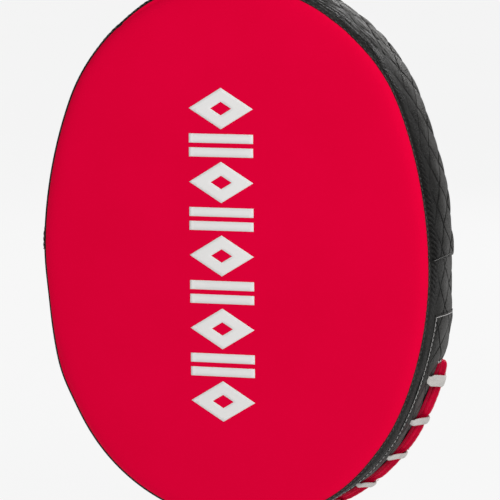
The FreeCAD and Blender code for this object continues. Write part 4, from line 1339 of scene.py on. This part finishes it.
def strap_lines(which):
    """Middle lines of the strap body and of the folded-back tail, and where the foot ends."""
    centre, bar_angle, bar, _ = strap_frame(which)
    radius = STRAPS[which][1]
    r = radius - LAYER
    foot = math.sqrt((r + FOOT_R) ** 2 - (centre - WEB / 2 - FOOT_R) ** 2)
    lean = math.atan2(WEB / 2 + FOOT_R - centre, foot)
    flat = np.stack([np.linspace(foot + FOOT_RUN, foot, 14)[:-1], np.full(13, WEB / 2)], 1)
    bend = arc_line(foot, WEB / 2 + FOOT_R, FOOT_R, 1.5 * PI, PI + lean, 0.7)[:-1]
    arch = arc_line(0, centre, r, lean, bar_angle - 4.6 / r)
    body = np.concatenate([flat, bend, arch])
    fold = arc_line(bar[0], bar[1], LAYER, bar_angle + PI, bar_angle, 0.5)[:-1]
    over = arc_line(0, centre, radius + LAYER, bar_angle, bar_angle - math.radians(SWEEP))
    return body, np.concatenate([fold, over]), foot


def strap_box_stitch(at, length, which, surface):
    """Box-and-cross stitching on a surface(u), which gives a point and a direction in XY."""
    z = STRAPS[which][0]
    w = STRAP_W / 2 - 3.0
    corners = [(0, -w), (length, -w), (length, w), (0, w), (0, -w), (length, w), (length, -w),
               (0, w)]
    corners = np.array(corners, float)
    t = np.linspace(0, 1, 12)[:-1, None]
    line = [a + (b - a) * t for a, b in zip(corners[:-1], corners[1:])] + [corners[-1:]]
    pts, outs = [], []
    for u, v in np.concatenate(line):
        p, out = surface(at + u)
        pts.append((*p, z + v))
        outs.append((*out, 0))
    return stitches_along(pts, outs, 3.2)


def keeper_line(kx, ky):
    """Middle line of the doubled webbing round the ring's outer bar at (kx, ky)."""
    r = WIRE + FREE + KEEPER_WEB / 2
    up = [(kx - KEEPER_RUN, KEEPER_WEB * 1.5), (kx - KEEPER_RUN * 0.6, KEEPER_WEB * 1.55),
          (kx - 7.5, KEEPER_WEB * 1.75), (kx - 4.0, ky + r * 0.75)]
    around = [(kx + r * math.cos(a), ky + r * math.sin(a)) for a in np.linspace(2.0, -PI / 2, 16)]
    down = [(kx - 5.0, KEEPER_WEB / 2), (kx - KEEPER_RUN, KEEPER_WEB / 2)]
    line = smooth_path(np.array(up + around + down), 110)
    line[:, 1] = np.maximum(line[:, 1], KEEPER_WEB / 2 * 0.9)
    return line


def build_strap(which):
    z, radius, _ = STRAPS[which]
    centre, bar_angle, _, (kx, ky) = strap_frame(which)
    body, tail, foot = strap_lines(which)
    first, last = bar_angle - math.radians(7), bar_angle - math.radians(SWEEP)
    between = LAYER - WEB / 2 - TAPE / 2
    hook = arc_line(0, centre, radius + between, first, last + math.radians(2))
    loop = arc_line(0, centre, radius - between, first, last - math.radians(20))
    tip = arc_line(0, centre, radius + LAYER, last + math.radians(6.5),
                   last - math.radians(0.4), 0.6)
    keeper = keeper_line(kx, ky)
    # name, line, look, slot, (width, thickness, cupping), rides on the tail, CAD node
    for name, line, look, slot, size, on_tail, node in (
            ("arm_strap_", body, "webbing", "webbing", (STRAP_W, WEB, 0.15), False, "body"),
            ("strap_tail_", tail, "webbing", "webbing", (STRAP_W, WEB, 0.15), True, "tail"),
            ("hook_patch_", hook, "hook", "hook_tape", (STRAP_W - 4, TAPE), True, "hook_tape"),
            ("loop_patch_", loop, "loop", "loop_tape", (STRAP_W - 4, TAPE), False, "loop_tape"),
            ("tail_tip_", tip, "red", "red_leather", (STRAP_W + 1.0, WEB + 1.3), True, None),
            ("ring_keeper_", keeper, "webbing", "webbing", (40.0, KEEPER_WEB), False, "keeper")):
        keep(web_strip(name + which, line, which, look, *size),
             which + "_tail" if on_tail else "pad",
             ("strap_%s_%s" % (which, node),) if node else ())
    # sewn leather patch over the foot, box stitches on the keeper and the tail
    place = (foot + 2.0, foot + FOOT_RUN, z - 24.0, z + 24.0)
    patch = plate_piece("strap_patch_cap_" + which, *place, WEB * 0.5, 2.3, 4.0, M["black"], 0.3)
    keep(patch, nodes=("strap_%s_patch" % which,))

    def on_keeper(x):
        return (x, KEEPER_WEB * 2 + 0.25), (0.0, 1.0)

    def on_arch(u):
        r_out = radius + LAYER + WEB / 2 + 0.1
        out = (math.cos(bar_angle - u / r_out), math.sin(bar_angle - u / r_out))
        return (r_out * out[0], centre + r_out * out[1]), out

    rows = patch_stitches(*place, WEB * 0.5 + 2.0, 4.0)
    rows += strap_box_stitch(kx - KEEPER_RUN + 1.5, KEEPER_RUN - 10.0, which, on_keeper)
    sew("strap_stitches_" + which, rows, "white_thread", 0.3, 0.72)
    rows = strap_box_stitch(12.0, 26.0, which, on_arch)
    sew("tail_stitches_" + which, rows, "white_thread", 0.3, 0.72, which + "_tail")


# ---------------------------------------------------------------- carried-over CAD nodes
CAD_LOOKS = {
    "foam_front": "foam_soft", "foam_core": "foam_firm", "foam_back": "foam_soft",
    "grip_core": "foam_firm",
    "rivets": "rivet", "rivet_washers": "rivet",
    "strap_upper_ring": "steel", "strap_lower_ring": "steel",
}


def dress_cad():
    for node, look in CAD_LOOKS.items():
        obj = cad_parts[node]
        obj.data.materials.clear()
        obj.data.materials.append(M[look])


# ---------------------------------------------------------------- camera, light and floor
YAW, ELEVATION, ROLL = math.radians(19.05), math.radians(7.6), math.radians(-0.52)
LENS, DISTANCE = 237.6, 1952.66
AIM = (10.018, 8.509)      # the point looked at, right of and above the middle of the rim


def build_camera():
    back = Vector((math.sin(YAW) * math.cos(ELEVATION), -math.cos(YAW) * math.cos(ELEVATION),
                   math.sin(ELEVATION)))
    right = Vector((math.cos(YAW), math.sin(YAW), 0))
    up = back.cross(right)
    right, up = (right * math.cos(ROLL) + up * math.sin(ROLL),
                 up * math.cos(ROLL) - right * math.sin(ROLL))
    centre = Vector((0, RIM_Y, 0))
    place = centre + back * DISTANCE
    target = centre + right * AIM[0] + up * AIM[1]
    look = (place - target).normalized()
    right = (right - look * right.dot(look)).normalized()
    up = look.cross(right)
    matrix = Matrix((right, up, look)).transposed().to_4x4()
    matrix.translation = place * SCALE
    data = bpy.data.cameras.new("camera")
    data.sensor_width = 36.0
    data.lens = LENS
    data.clip_end = 200000 * SCALE
    camera = bpy.data.objects.new("camera", data)
    camera.matrix_world = matrix
    bpy.context.scene.collection.objects.link(camera)
    bpy.context.scene.camera = camera


def area_light(name, place, size, power):
    """White rectangular light that points at the middle of the pad; metres and watts."""
    data = bpy.data.lights.new(name, "AREA")
    data.shape = "RECTANGLE"
    data.size, data.size_y = size
    data.energy = power
    obj = bpy.data.objects.new(name, data)
    obj.location = place
    obj.rotation_euler = (-Vector(place)).to_track_quat("-Z", "Y").to_euler()
    bpy.context.scene.collection.objects.link(obj)


def build_stage():
    n = Nodes("floor")
    tone = n.ramp(n.noise(900.0, 2.0), [(0.3, (0.995, 0.995, 0.995)), (0.7, (1.0, 1.0, 1.0))])
    n.link(tone, n.shader.inputs["Emission Color"])
    n.set(Roughness=1.0, Specular_IOR_Level=0.0, Emission_Strength=0.885,
          Base_Color=(0.05, 0.05, 0.05, 1))
    size, floor_z = 60000.0, -180.0
    obj = new_mesh("floor", [(-size, -size, floor_z), (size, -size, floor_z),
                             (size, size, floor_z), (-size, size, floor_z)],
                   [(0, 1, 2, 3)], n.mat, smooth=False)
    world = bpy.data.worlds.new("studio")
    world.use_nodes = True
    background = world.node_tree.nodes["Background"]
    background.inputs[0].default_value = (0.93, 0.93, 0.93, 1)
    background.inputs[1].default_value = 0.46
    bpy.context.scene.world = world
    area_light("key", (1.1, -0.9, 1.0), (0.9, 0.9), 15)
    area_light("top", (0.5, 1.0, 1.4), (1.0, 0.8), 9)
    area_light("rim", (0.1, 1.7, 0.62), (1.4, 0.35), 8.5)
    bpy.context.scene.view_settings.view_transform = "Standard"


# ---------------------------------------------------------------- build everything
build_camera()
build_stage()
dress_cad()
build_print(build_face())
build_wall()
build_seams()
build_heel()
build_roll()
build_flange()
build_lace()
build_back()
build_cushion()
build_grip()
build_sling(1)
build_sling(-1)
build_tabs()
for strap_name in STRAPS:
    build_strap(strap_name)
